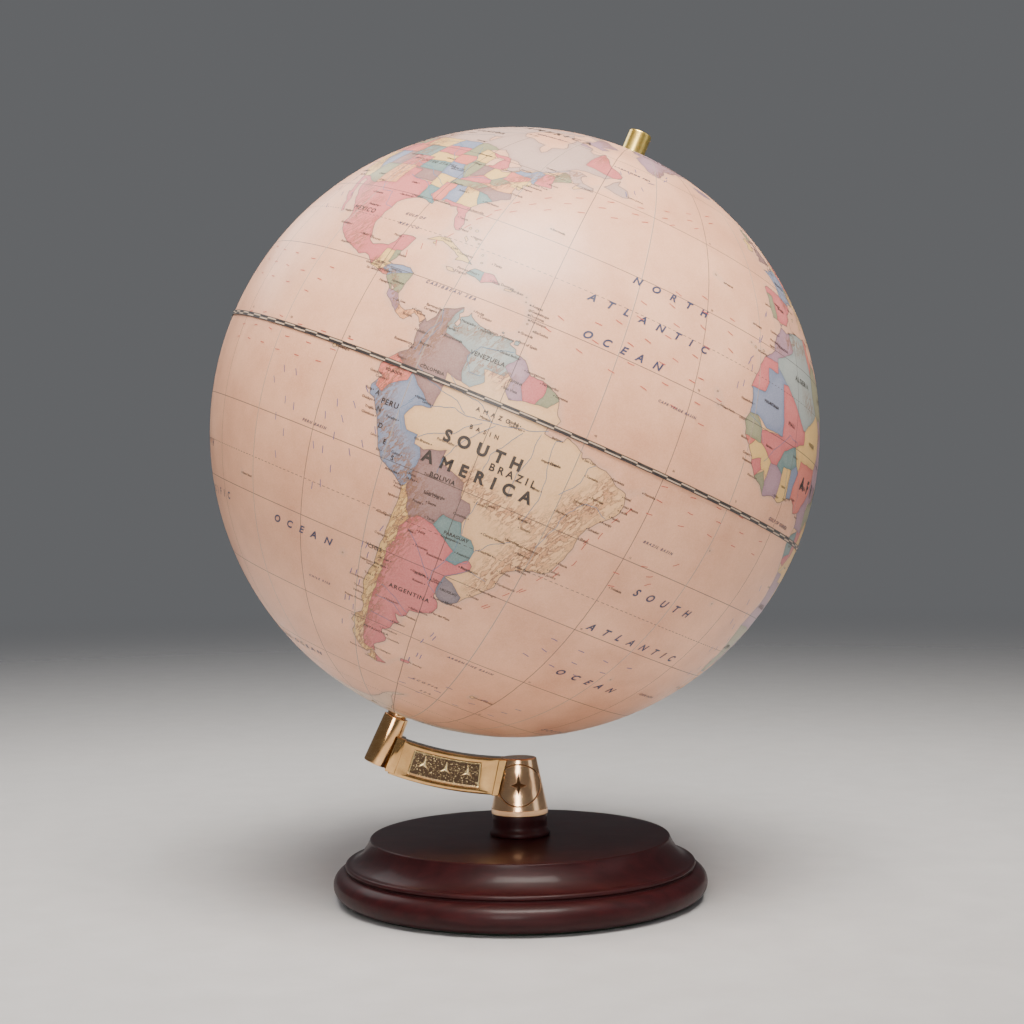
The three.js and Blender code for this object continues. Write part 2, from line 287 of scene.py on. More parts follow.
# ------------------------------------------------------------------ geography, degrees east and north
COASTS = """
africa -5.9 35.8 -3 35.3 -1 35.8 3 36.8 7 37 10 37.3 11 36.9 10.2 35.2 11 33.5 13.2 32.9 15.3 32.3 16 31.2
 18.5 30.4 20 31 20.2 32.3 21.7 32.9 23.2 32.2 25 31.7 27.5 31.1 29.5 30.9 31 31.6 32.3 31.3 32.6 29.9
 33.6 27.8 34.5 26 35.6 24 35.5 23.2 37.2 21 37.2 19.6 38.5 18 39.5 15.6 41 14.6 43.1 12.6 43.3 11.4
 44.6 10.4 47 11.1 51.2 11.9 51 10.4 50 8 48 4.6 45.5 2.2 43 -0.3 41.5 -1.8 40.1 -3 39.4 -4.7 38.8 -6.3
 39.5 -7.3 39.6 -9.2 40.6 -10.8 40.7 -14.8 39.8 -16.4 37 -17.8 34.9 -19.8 35.5 -22 35.5 -24 32.8 -25.5
 32.9 -27 32 -29 30.2 -31.3 28 -33 25.7 -33.9 22 -34.2 20 -34.8 18.4 -34.2 18.2 -32.4 17.2 -30 16.4 -28.6
 15.2 -26.8 14.5 -22.8 13 -20.2 11.8 -17.5 12.2 -15 13.5 -12.5 13.8 -10.6 13 -8.8 12.3 -6.1 11 -4 9 -1
 9.3 0.8 9.8 3 9.3 4 8.5 4.6 6 4.3 5 5.8 3.4 6.4 1.2 6.1 -0.2 5.5 -2 4.8 -4 5.3 -6 4.8 -7.6 4.4 -9.3 5.6
 -11.4 6.8 -13.2 8.5 -13.4 9.5 -15 11 -16.6 12.4 -16.8 13.2 -17.4 14.7 -16.4 16.5 -16.2 19 -16.5 20.8
 -17 21 -16 23.7 -14.9 25.8 -13 27.7 -11.3 28.7 -9.8 29.9 -9.8 31.5 -8.5 33.3 -6.8 34.2
madagascar 49.3 -12 50.4 -15.5 49.5 -17.5 48 -22 47 -25 45 -25.5 43.7 -23.5 44.3 -20.5 44.4 -16.4
 46.4 -15.8 48 -13.6
south_america -77.3 8.6 -76.8 8.1 -75.6 9.6 -75.4 10.7 -74.2 11.3 -72.5 11.9 -71.6 12.4 -71.3 11.8
 -71.9 11.2 -71.6 10.6 -71.9 9.5 -71.3 9.3 -71 9.9 -71.4 10.9 -70.2 11.5 -70 12.1 -69.7 11.5 -68.3 10.8
 -66.2 10.6 -65 10.1 -64.2 10.5 -62 10.7 -62.5 9.9 -61 9.4 -60.6 8.6 -59 8 -57.8 6.6 -57 5.9 -55 6
 -53.8 5.7 -52.2 4.8 -51.5 4.2 -50.8 2 -50 1.2 -50.4 0.1 -51.4 -0.6 -51.6 -1.5 -50.4 -1.7 -48.4 -1.5
 -48.2 -0.8 -47.5 -0.7 -46 -1.2 -44.6 -1.8 -44.3 -2.8 -43.4 -2.4 -41.5 -2.9 -39.8 -2.9 -38.5 -3.7 -37 -4.8
 -35.3 -5.2 -34.8 -7.2 -34.9 -8.5 -36 -10.2 -37.2 -11.3 -38.5 -13 -39 -14.5 -39.2 -17 -39.7 -19.3
 -40.3 -20.5 -41 -22 -42 -23 -43.6 -23 -45 -23.5 -46.4 -24.1 -47.9 -25 -48.6 -26.3 -48.6 -28.2 -50 -29.7
 -51.3 -31.6 -52.2 -32.4 -53.5 -34 -55 -34.9 -56.2 -34.9 -57.8 -34.4 -58.4 -33.9 -58.5 -34.5 -57.2 -35.4
 -56.7 -36.4 -57.7 -38.1 -60 -38.9 -62.1 -39 -62.3 -40.6 -63.8 -41.1 -65 -41 -64.4 -42.2 -63.7 -42.5
 -65.2 -43.5 -65.4 -45 -67.3 -45.9 -67 -46.6 -65.8 -47.6 -66 -48.3 -67.6 -50 -69 -51 -68.4 -52.4
 -69.4 -52.5 -70.9 -53.3 -71.5 -53.8 -73 -53.2 -74 -52 -75 -50.5 -75.5 -49 -74.5 -47.8 -75.5 -46.7
 -74.4 -44.8 -73 -43.8 -72.9 -42 -73.8 -40.8 -73.3 -39.2 -73.5 -37.2 -72.6 -35.4 -71.7 -33.2 -71.5 -30.5
 -71.2 -28.5 -70.6 -26 -70.4 -23.4 -70.2 -20 -70.4 -18.3 -72 -17.2 -75.2 -15.3 -76.3 -13.8 -77.2 -12.1
 -78.2 -10 -79.2 -8 -80 -6.5 -81.1 -6 -81.3 -4.4 -80.4 -3.4 -79.8 -2.6 -81 -2.2 -80.9 -1 -80 0.5 -79 1.6
 -78.8 1.8 -77.6 2.6 -77.2 3.8 -77.5 5.6 -77.4 6.6 -77.9 7.2
tierra_del_fuego -68.6 -52.7 -68.3 -53.3 -66.5 -54.5 -65.2 -54.7 -66.5 -55.1 -68.3 -55.4 -70 -55.1
 -71.8 -54.4 -70.6 -53.9 -70.2 -53 -69.5 -52.6
falklands -61 -51.4 -59.5 -51.4 -58 -51.5 -58.9 -52.2 -60.8 -52.1
north_america -77.3 8.6 -78.5 9.4 -79.9 9.4 -81.2 8.8 -82.2 9.1 -83 10 -83.7 11 -83.6 12.5 -83.4 14
 -83.2 15 -84.5 15.8 -86 15.8 -88 15.7 -88.8 15.9 -88.2 17 -88.1 18.3 -87.6 19.4 -87.2 20.8 -87 21.5
 -88.3 21.6 -90.2 21.2 -90.5 19.9 -91.5 18.6 -93.5 18.3 -94.7 18.2 -95.9 18.8 -96.4 19.9 -97.4 21.4
 -97.8 22.5 -97.6 24.5 -97.2 26 -97.3 27.5 -96 28.6 -94.6 29.4 -93 29.7 -91.5 29.5 -90.2 29.1 -89.2 29.1
 -89.4 30.2 -88 30.3 -86.2 30.4 -85.3 29.7 -84 30 -82.8 29 -82.7 27.6 -81.8 26 -81 25.2 -80.3 25.3
 -80.1 26.9 -81.2 29.5 -81.4 31 -80 32.6 -78.6 33.8 -77.5 34.4 -76.4 34.8 -75.6 35.3 -76 36.8 -76.3 38
 -76.4 39.2 -75.9 38.2 -75.3 38.2 -75.1 39 -75.5 39.6 -74.3 39.5 -74 40.6 -72 41.2 -70.7 41.5 -70 41.7
 -70.7 42.6 -70.5 43.4 -68.8 44.3 -67 44.8 -66 45.2 -64.8 45.7 -66 43.8 -65.4 43.5 -63.5 44.5 -61 45.3
 -61.2 46 -64 46.2 -65 47.2 -65.2 48 -64.3 48.8 -66.5 49.2 -69.5 48 -67.5 49.7 -65 50.2 -60 50.2
 -58.5 51.4 -56 52 -55.8 53.2 -57.5 54.5 -60 55.5 -61.5 57 -62.5 58.6 -64.6 60.3 -66 58.8 -68 58.5
 -69.6 59.2 -70 61 -73.5 62.3 -77.8 62.5 -77.5 60 -78 58.8 -76.7 57.2 -77 55.8 -79.6 54.6 -79 52.5
 -79.5 51.5 -81 52.2 -82.2 53.2 -82.3 55 -85 55.3 -88.5 56.7 -92.4 57 -94.5 58.8 -94.2 60.8 -92.5 62.2
 -90 63.8 -87.5 65.3 -85.5 66.5 -82 66.8 -81.5 68.5 -84.5 69.8 -87.5 68 -88 68.8 -90 69 -92 70 -95 71.5
 -94 69 -97 67.9 -101 67.8 -108 67.5 -110 68 -115 68.5 -117 69.2 -121 69.8 -125 70 -128 70.2 -131 69.8
 -136 69 -141 69.6 -146 70.1 -152 70.8 -156.8 71.3 -162 70 -166 68.4 -163 67 -161.7 66.3 -167.8 65.6
 -165 64.5 -161 64.4 -161 63.5 -165 62.5 -166 61.6 -164.5 60.4 -162 59.9 -158 58.8 -157.5 57.5 -162 55.6
 -164.5 54.7 -160.5 55.4 -157 56.6 -154 58.3 -153.5 59.5 -151 61 -151.8 59.3 -148.5 60 -145.5 60.5
 -140 59.8 -137 58.5 -134 57.2 -131.5 55.3 -130.2 54.3 -128 51.9 -126 50.7 -123.3 49.2 -122.4 47.4
 -124.6 48.4 -124.1 46.3 -124.1 43.8 -124.3 40.4 -123.8 39 -122.5 37.6 -121.9 36.6 -120.6 34.6 -118.5 34
 -117.2 32.8 -116.2 30.8 -115 29 -114.2 27.8 -115 27.8 -113.5 26.6 -112.2 25.8 -111.5 24.5 -110 22.9
 -109.5 23.2 -110.6 24.5 -111.3 26.2 -112.8 28.2 -114.6 30.2 -114.8 31.6 -113.2 31.2 -112.3 29.2
 -110.7 27.8 -109.3 26.3 -108.2 25.2 -106.5 23.4 -105.4 21.5 -105.6 20.5 -104.6 19.3 -102.5 18 -100.5 17.1
 -98.2 16.3 -96.3 15.7 -94.8 16.2 -93.7 15.9 -92.2 14.5 -90.5 13.9 -88.5 13.2 -87.6 13.2 -87.3 12.7
 -86 11.4 -85.7 10.3 -84.9 9.8 -83.7 8.8 -82.9 8.2 -81.6 7.5 -80.8 7.3 -80.2 8 -79.4 8.9 -78.4 8.4 -78 7.5
baffin -66.5 61.9 -64.8 63.5 -68 63.8 -65 65.3 -62 66.7 -64 67.6 -68 69 -72 71.2 -78 72.7 -85 73.7
 -89.5 73.5 -85 70.5 -79 69.7 -74 68 -73 65 -78 64.5 -74 64.2 -71.5 62.8
victoria -114 69.2 -105.5 69.2 -101.5 69.9 -105 72.5 -110 72.8 -117.5 73 -117 70.5
banks -121 71.4 -125.5 72.2 -124 74.2 -118 73.8
ellesmere -76 78.4 -73 80 -62 82.4 -70 83.1 -85 82.2 -90 81.5 -86 79 -89 76.5 -80 76.2
devon -80 75.6 -80 74.6 -91.5 74.7 -95 76.6 -88 76
somerset -95 71.9 -91 72.8 -93 74 -97 73.9 -102 73 -101 71.5
parry -96 75 -106 75.4 -115 75.2 -117 76.2 -105 78.8 -96 78.5 -98 76.6
southampton -80.2 63.9 -83.5 66 -87 64.2 -84.5 63.2
newfoundland -59.3 47.8 -57.5 50.2 -55.6 51.5 -56.2 50 -53.5 49.3 -52.7 47.4 -54 46.8 -55.8 46.9
vancouver -128.2 50.7 -125 50 -123.4 48.5 -125.2 48.8
cuba -84.9 21.9 -83.2 23 -81.2 23.1 -79 22.5 -76.5 21.2 -74.2 20.2 -77.5 19.9 -77.2 20.7 -78.7 21.5
 -81.8 22.2
hispaniola -74.4 18.4 -73.4 19.8 -71.6 19.9 -69.9 19.7 -68.4 18.6 -70.2 18.2 -71.5 17.7 -72.6 18.2
jamaica -78.3 18.3 -77 18.5 -76.2 17.9 -77.8 17.8
puerto_rico -67.2 18.4 -65.7 18.4 -65.9 18 -67.1 18
trinidad -61.8 10.8 -60.9 10.8 -61 10.1 -61.8 10.1
andros -78.3 25.1 -77.7 24.5 -77.9 23.9 -78.5 24.6
greenland -44 60 -48 61 -51.5 63.8 -53.5 66.5 -51 69.5 -54.5 70.5 -56 73.5 -60 75.8 -68 76.1 -71 77.2
 -73 78.3 -66 79.8 -62 81.2 -52 82.3 -40 83.3 -30 83.5 -20 82 -17 80.2 -20 77.5 -19.5 75.2 -22 73 -22 70.8
 -26 69.6 -32 68.2 -37 65.8 -40.5 65 -41.5 62.8 -42.8 60.8
iceland -22.5 64 -24 65.5 -22.3 66.4 -18.5 66.1 -15.5 66.3 -13.8 65 -15.8 64.2 -19 63.4
great_britain -5.6 50.1 -3.5 50.3 1.2 51 1.6 52.7 0.1 53.1 -1.3 54.8 -2.5 56.2 -1.9 57.6 -4 57.8 -3.2 58.6
 -5 58.6 -5.8 57.3 -5.5 55.5 -4.8 54.8 -3 54.8 -3 53.4 -4.6 52.9 -4.5 52.2 -5.2 51.8 -3 51.4 -4.6 50.9
ireland -10 51.7 -8 51.8 -6.4 52.2 -6 53.8 -5.6 54.7 -7.4 55.3 -8.6 54.5 -10 54.2 -9.2 53.2
svalbard 12.5 77.5 16 76.8 21.5 78.5 27 80.1 22 80.3 14.5 79.8 11.5 78.8
novaya_zemlya 52 71.2 53.5 73.5 58 75.7 68 76.9 60.5 75 56 73 57.5 70.6
eurasia -5.6 36 -6.4 36.9 -8.9 37 -9.4 38.8 -8.8 41 -9.2 43.1 -8 43.7 -3.8 43.5 -1.6 43.4 -1.2 45.5
 -2.5 47.3 -4.6 48.3 -1.6 48.7 -1.5 49.7 0.2 49.6 1.6 50.6 3.5 51.4 4.6 52.8 7 53.5 8.6 53.9 8.1 55.6
 8.3 57 10.6 57.7 10.3 56.2 10.8 54.4 12.5 54.4 14.3 53.9 18.5 54.7 19.8 54.4 21.1 55.5 21.2 57.2 23 57.2
 24.3 57.5 23.5 59.1 28 59.6 29.8 60 27 60.5 23 59.9 21.4 60.9 21.4 62.8 25.3 65 22.3 65.8 21 64 17.3 61.7
 17.2 60.5 18.9 59.8 16.7 58 16 56.3 14.2 55.5 12.8 55.6 11.3 58.2 10.5 59.3 8.2 58.2 5.7 58.9 5.1 61
 8.5 63.4 12.5 66 15 68.3 18.5 69.8 24 71 29 70.7 33 69.4 41 67.4 40 66.2 33 66.6 37.5 64 40 64.7 44 66
 44 68.5 49 68 54 68.5 60.5 69 67 68.7 69 72.5 73 71.3 72 67.8 74.5 68 75 72 80.5 72.5 81 73.6 87 74.8
 98 76.2 104.3 77.7 113 76 110 74 114 73.6 123 73.2 127 72.5 130 71 140 72.4 150 71.6 160 69.8 170 69.9
 178 69.3 184 67.8 190.2 66 187 64.4 181 65 177.5 64.7 179.5 62.5 174 61.7 170.3 60 164 59.9 163.3 58
 162 56 160 53.2 156.8 51 155.7 55 157 57.8 161.5 60.3 163 62 156 61.4 151 59.3 143 59.3 138 56.5 137.5 54
 141.3 53 140.5 50 140 47.5 135.5 43.8 131.9 43.1 129.8 41 127.5 39.6 129.4 37 129.1 35.2 126.4 34.5
 126.6 37 125 38 124.6 39.6 121.3 39 122 40.5 118 39 119 37.3 122.5 37 119.3 35 120.9 32.5 121.9 31
 121.5 28.5 119 25.5 116.5 23 113.5 22.2 110.4 21 108 21.6 106 19.5 107 17 109 14.5 109.2 11.8 107 10.4
 105 8.7 104.8 10.3 102.5 12 100.9 13.4 100 13 99.3 10 100.5 7.2 103.4 4.5 104.2 1.4 103.3 1.5 101.3 3
 100.4 5.5 98.3 8 98.6 11 97.7 15.5 95.3 15.8 94.3 16.5 94.2 19 92 21.5 90.5 22.6 88 21.7 86.8 20.7
 84.5 18.5 82.3 16.6 80.3 15.6 80.2 12.5 79.8 10.3 78.2 8.9 77.5 8.1 76.3 9.9 74.8 13 73.3 17 72.8 20
 72.6 21.6 70.5 20.8 69 22.3 68 23.7 66.6 25.3 61.7 25.1 57.2 26 56.3 27.1 53.5 26.7 51 28 50 30.1 48 30
 48.3 28.4 50.2 26.5 51.3 26 51.5 24.5 54.3 24.2 56.2 26.1 56.8 24 58.8 23.5 59.8 22.4 57.8 20.2 57.7 18.9
 55.3 17.3 52.2 15.6 48.7 14 45 12.8 43.4 12.7 42.7 15.6 42.5 17 40.5 19.8 39 21.8 37.2 24.5 35.2 28
 34.6 28 35 29.5 34.2 27.8 32.6 29.9 32.3 31.3 34.3 31.3 35.2 33 36 35 36.1 36.8 33.8 36.2 30.6 36.7
 28 36.8 26.4 38.3 26.5 39.5 29 40.5 29.1 41.2 32 41.8 35 42 38.5 41 41.5 41.5 40 43.4 37.3 45 39 47.1
 35.2 46.3 36.3 45.3 33.6 44.5 32.8 46 31 46.6 29.7 45 28.5 43.5 28 42 28.9 41.2 26.2 40.7 23.8 40.3
 22.8 39.5 24 38 23 36.5 21.5 37 21.2 38.5 19.5 41 19.3 42 16.5 43.5 14.5 45.2 12.4 45.3 12.5 44 14 42.5
 16 41.8 18.4 40.2 17 40.5 16.6 38.2 15.8 38 15.7 40 14 40.8 12.2 41.8 10.4 43 8.8 44.4 6.5 43.2 3.2 43.2
 3.2 41.8 0.3 40 -0.2 38.6 -2 36.8 -4.5 36.7
sicily 12.5 38 15.5 38.2 15.1 36.7
sardinia 8.3 41 9.6 41 9.6 39.2 8.5 39
corsica 8.7 42.5 9.4 43 9.3 41.4
crete 23.6 35.5 26.2 35.3 24.5 34.9
cyprus 32.4 34.8 34.5 35.6 33.9 35 33 34.6
ceylon 79.8 8.5 80.3 9.7 81.8 7.5 81 6.1 80 6.2
sumatra 95.4 5.6 98 4.2 100.5 2.2 103.6 -1 106 -3 105.8 -5.8 104.5 -5.8 101 -2.8 98.5 1.6
java 105.3 -6.8 106.8 -6 110.8 -6.4 114.4 -7.7 114.3 -8.6 110 -8.1 106.5 -7.4
flores 116.8 -8.3 119 -8.3 122.8 -8.2 122.9 -8.8 119.8 -9.2 117 -9
borneo 109 1.8 111.3 2.5 113.2 3.3 116.8 7 119 5.2 117.8 3 118.8 1 117.4 -0.8 116.2 -3.8 114.6 -4.1
 110.2 -2.8 109.1 0
sulawesi 119.8 0.8 123.5 1 125 1.6 124.3 0.4 120.3 0.5 121 -1 123.3 -0.9 121.6 -2 122.8 -4.5 121.4 -4.7
 120.8 -2.8 120.4 -5.6 119.5 -5.4 119 -3
new_guinea 131 -0.8 134 -0.9 135 -3.3 138 -1.7 141 -2.6 144.5 -3.9 147.8 -6 147.3 -6.8 150.8 -10.3
 148 -10.1 146 -8.6 143.5 -8.5 141 -9.1 138 -8.3 138 -6 135 -4.4 132.8 -4 132 -2.8
new_britain 148.5 -5.7 151 -5.5 152.2 -4.2 151.8 -5.9 149.5 -6.3
luzon 120.5 18.5 122.2 18.4 121.6 16 124 13 121 13.7 120.2 15
mindanao 122 7 123.5 8.6 125.5 9.7 126.5 7.5 125.4 5.7 124 6.8
visayas 122 11.7 125 12.4 125.3 10.3 122.9 9.3
taiwan 121 25.2 122 25 120.9 22 120.1 23
hainan 108.7 19.3 110.6 20.1 110.5 18.8 109.2 18.2
honshu 130.9 34 133 35.5 136 35.8 137.2 37.4 139 38.2 140 40.5 141.4 41.4 142 39.5 140.8 38 140.9 35.8
 138.8 34.7 136.8 34.4 135.8 33.5 135 34.6 132.3 34.2
hokkaido 140.1 41.5 140.4 43.3 141.8 45.5 145.3 44.2 143.3 42
kyushu 129.7 33.2 131.8 33.6 131.2 31.3 130.2 31.3
shikoku 132.4 33.8 134.6 34.2 134.2 33.3 133 32.8
sakhalin 142 46 142 49 141.8 53.3 143 54.3 143.3 52 144.5 49 143.4 46.8
australia 113.7 -22.5 114.2 -26 115 -30 115.7 -32 115 -34.3 118 -35 120 -33.9 123.5 -33.9 126 -32.3
 131 -31.5 134 -32.7 135.3 -34.6 137.8 -32.6 138.2 -35.3 139.8 -37 143.5 -38.8 146.3 -39 149.9 -37.5
 151 -34.5 153 -31 153.5 -28 152.5 -25 149.5 -22.3 146.3 -19 145.4 -15.8 143.5 -14.3 142.5 -10.8
 141.6 -13.5 140.8 -17.5 139 -17.3 135.5 -15 136.8 -12.2 132.6 -11.4 130.8 -12.6 129.2 -15 126.5 -14
 123.5 -17.2 122.2 -18 119 -20 116.8 -20.6
tasmania 144.7 -40.8 148.2 -40.9 148 -43 146.2 -43.6
north_island 172.8 -34.5 175.8 -36.8 178.4 -37.7 176.9 -39.6 175.2 -41.6 173.8 -39.3 174.8 -37.5
south_island 172.7 -40.6 174.2 -41.6 171 -44.5 170.5 -46 168.4 -46.6 166.5 -46 168.5 -44 171.3 -42.3
new_caledonia 164 -20.2 167 -22.2 165.6 -21.7
antarctica -180 -78 -165 -78 -150 -77 -135 -74.5 -120 -73.8 -105 -73 -85 -73 -75 -72.5 -68 -69 -65 -66
 -60 -63.5 -57 -63.3 -61 -65 -62 -68 -61 -72 -62 -75 -60 -77 -45 -78 -35 -78 -27 -76.5 -18 -73.5 -10 -71.5
 0 -70 15 -70 30 -69.5 40 -69.5 50 -66.8 57 -67 70 -68.5 75 -69.5 82 -67.5 95 -66.5 110 -66.3 125 -66.6
 135 -66.2 145 -67 155 -69 165 -71 168 -74 164 -77.5 180 -78 180 -88 -180 -88
"""

LAKES = """
caspian 51 47 53 46.6 51.2 44.6 53 42 52.9 40 54 37.2 50 37.4 49.3 40.5 47.6 43 47 45 49 46.4
superior -92 46.8 -88 48.8 -84.8 46.6 -87.5 46.5 -90.5 46.7
michigan -87.8 42 -86.2 42.2 -85.2 45.6 -87 45.6 -88 43.5
huron -84 46 -81.5 46 -79.9 44.7 -81.7 43.3 -82.5 43.2 -83.4 45.2
erie -83.3 41.6 -79 42.9 -80.5 42 -82.5 41.4
ontario -79.6 43.3 -76.3 44 -76.5 43.5 -79 43.2
winnipeg -97 50.5 -96.3 53.6 -98.6 53 -97.8 51
great_bear -121 65.5 -118 66.8 -120.5 67 -125 66
great_slave -116 61.2 -110 62.7 -113 61.3 -116.5 60.9
victoria 31.8 0.2 34.2 0.2 33.8 -2.4 31.9 -2.4
aral 58.5 44.5 60.5 46.5 61.3 44.5 59.5 43.6
baikal 103.8 51.6 108.5 53.4 109.9 55.7 108.3 54.4 104.5 52
tanganyika 29.2 -3.5 30.8 -8.5 30.2 -8.4 29.1 -5
malawi 34 -10 34.9 -14 34.5 -14 34 -12
nicaragua -86 12.1 -84.9 11.4 -85.3 11.1
"""

# Small islands: longitude, latitude and radius.
ISLETS = """
-61.5 16.2 .25  -61.4 15.4 .18  -61 14.6 .2  -61 13.9 .17  -59.5 13.1 .16  -61.7 12.1 .14  -61.8 17.1 .16
-64.8 32.3 .12  -28 38.6 .2  -25.5 37.8 .2  -17 32.7 .2  -15.6 28 .24  -16.6 28.3 .28  -14 28.5 .28
-17.9 28.7 .16  -23.6 15.1 .2  -25 17 .16  -24.3 14.9 .14  -91 -.7 .42  -90.3 -.7 .2  -155.5 19.6 .55
-156.4 20.8 .25  -158 21.5 .22  -159.5 22 .2  -5.7 -16 .12  -14.4 -7.9 .12  -12.3 -37.1 .12  -37 -54.4 .5
-32.4 -3.9 .12  -109.4 -27.1 .12  -79 -33.6 .14  55.5 -21.1 .26  57.6 -20.3 .26  45.5 -12.8 .16
166 -10 .3  160 -9 .6  178 -17.9 .55  179.2 -16.6 .4  -171.8 -13.8 .25  -149.5 -17.6 .25  73 4.2 .12
72.4 -7.3 .1  92.8 12.5 .4  105.7 -10.5 .12  -73.5 22.4 .2  -75.3 24.2 .18  -77.1 26.5 .3  -78.6 26.6 .25
-76.2 24.8 .18  -72.9 21 .2  -83 21.7 .3  -63 18.1 .1  -64.7 18.3 .14  -62.7 17.3 .12  -64 11 .2
2.9 39.6 .4  4 40 .2
"""

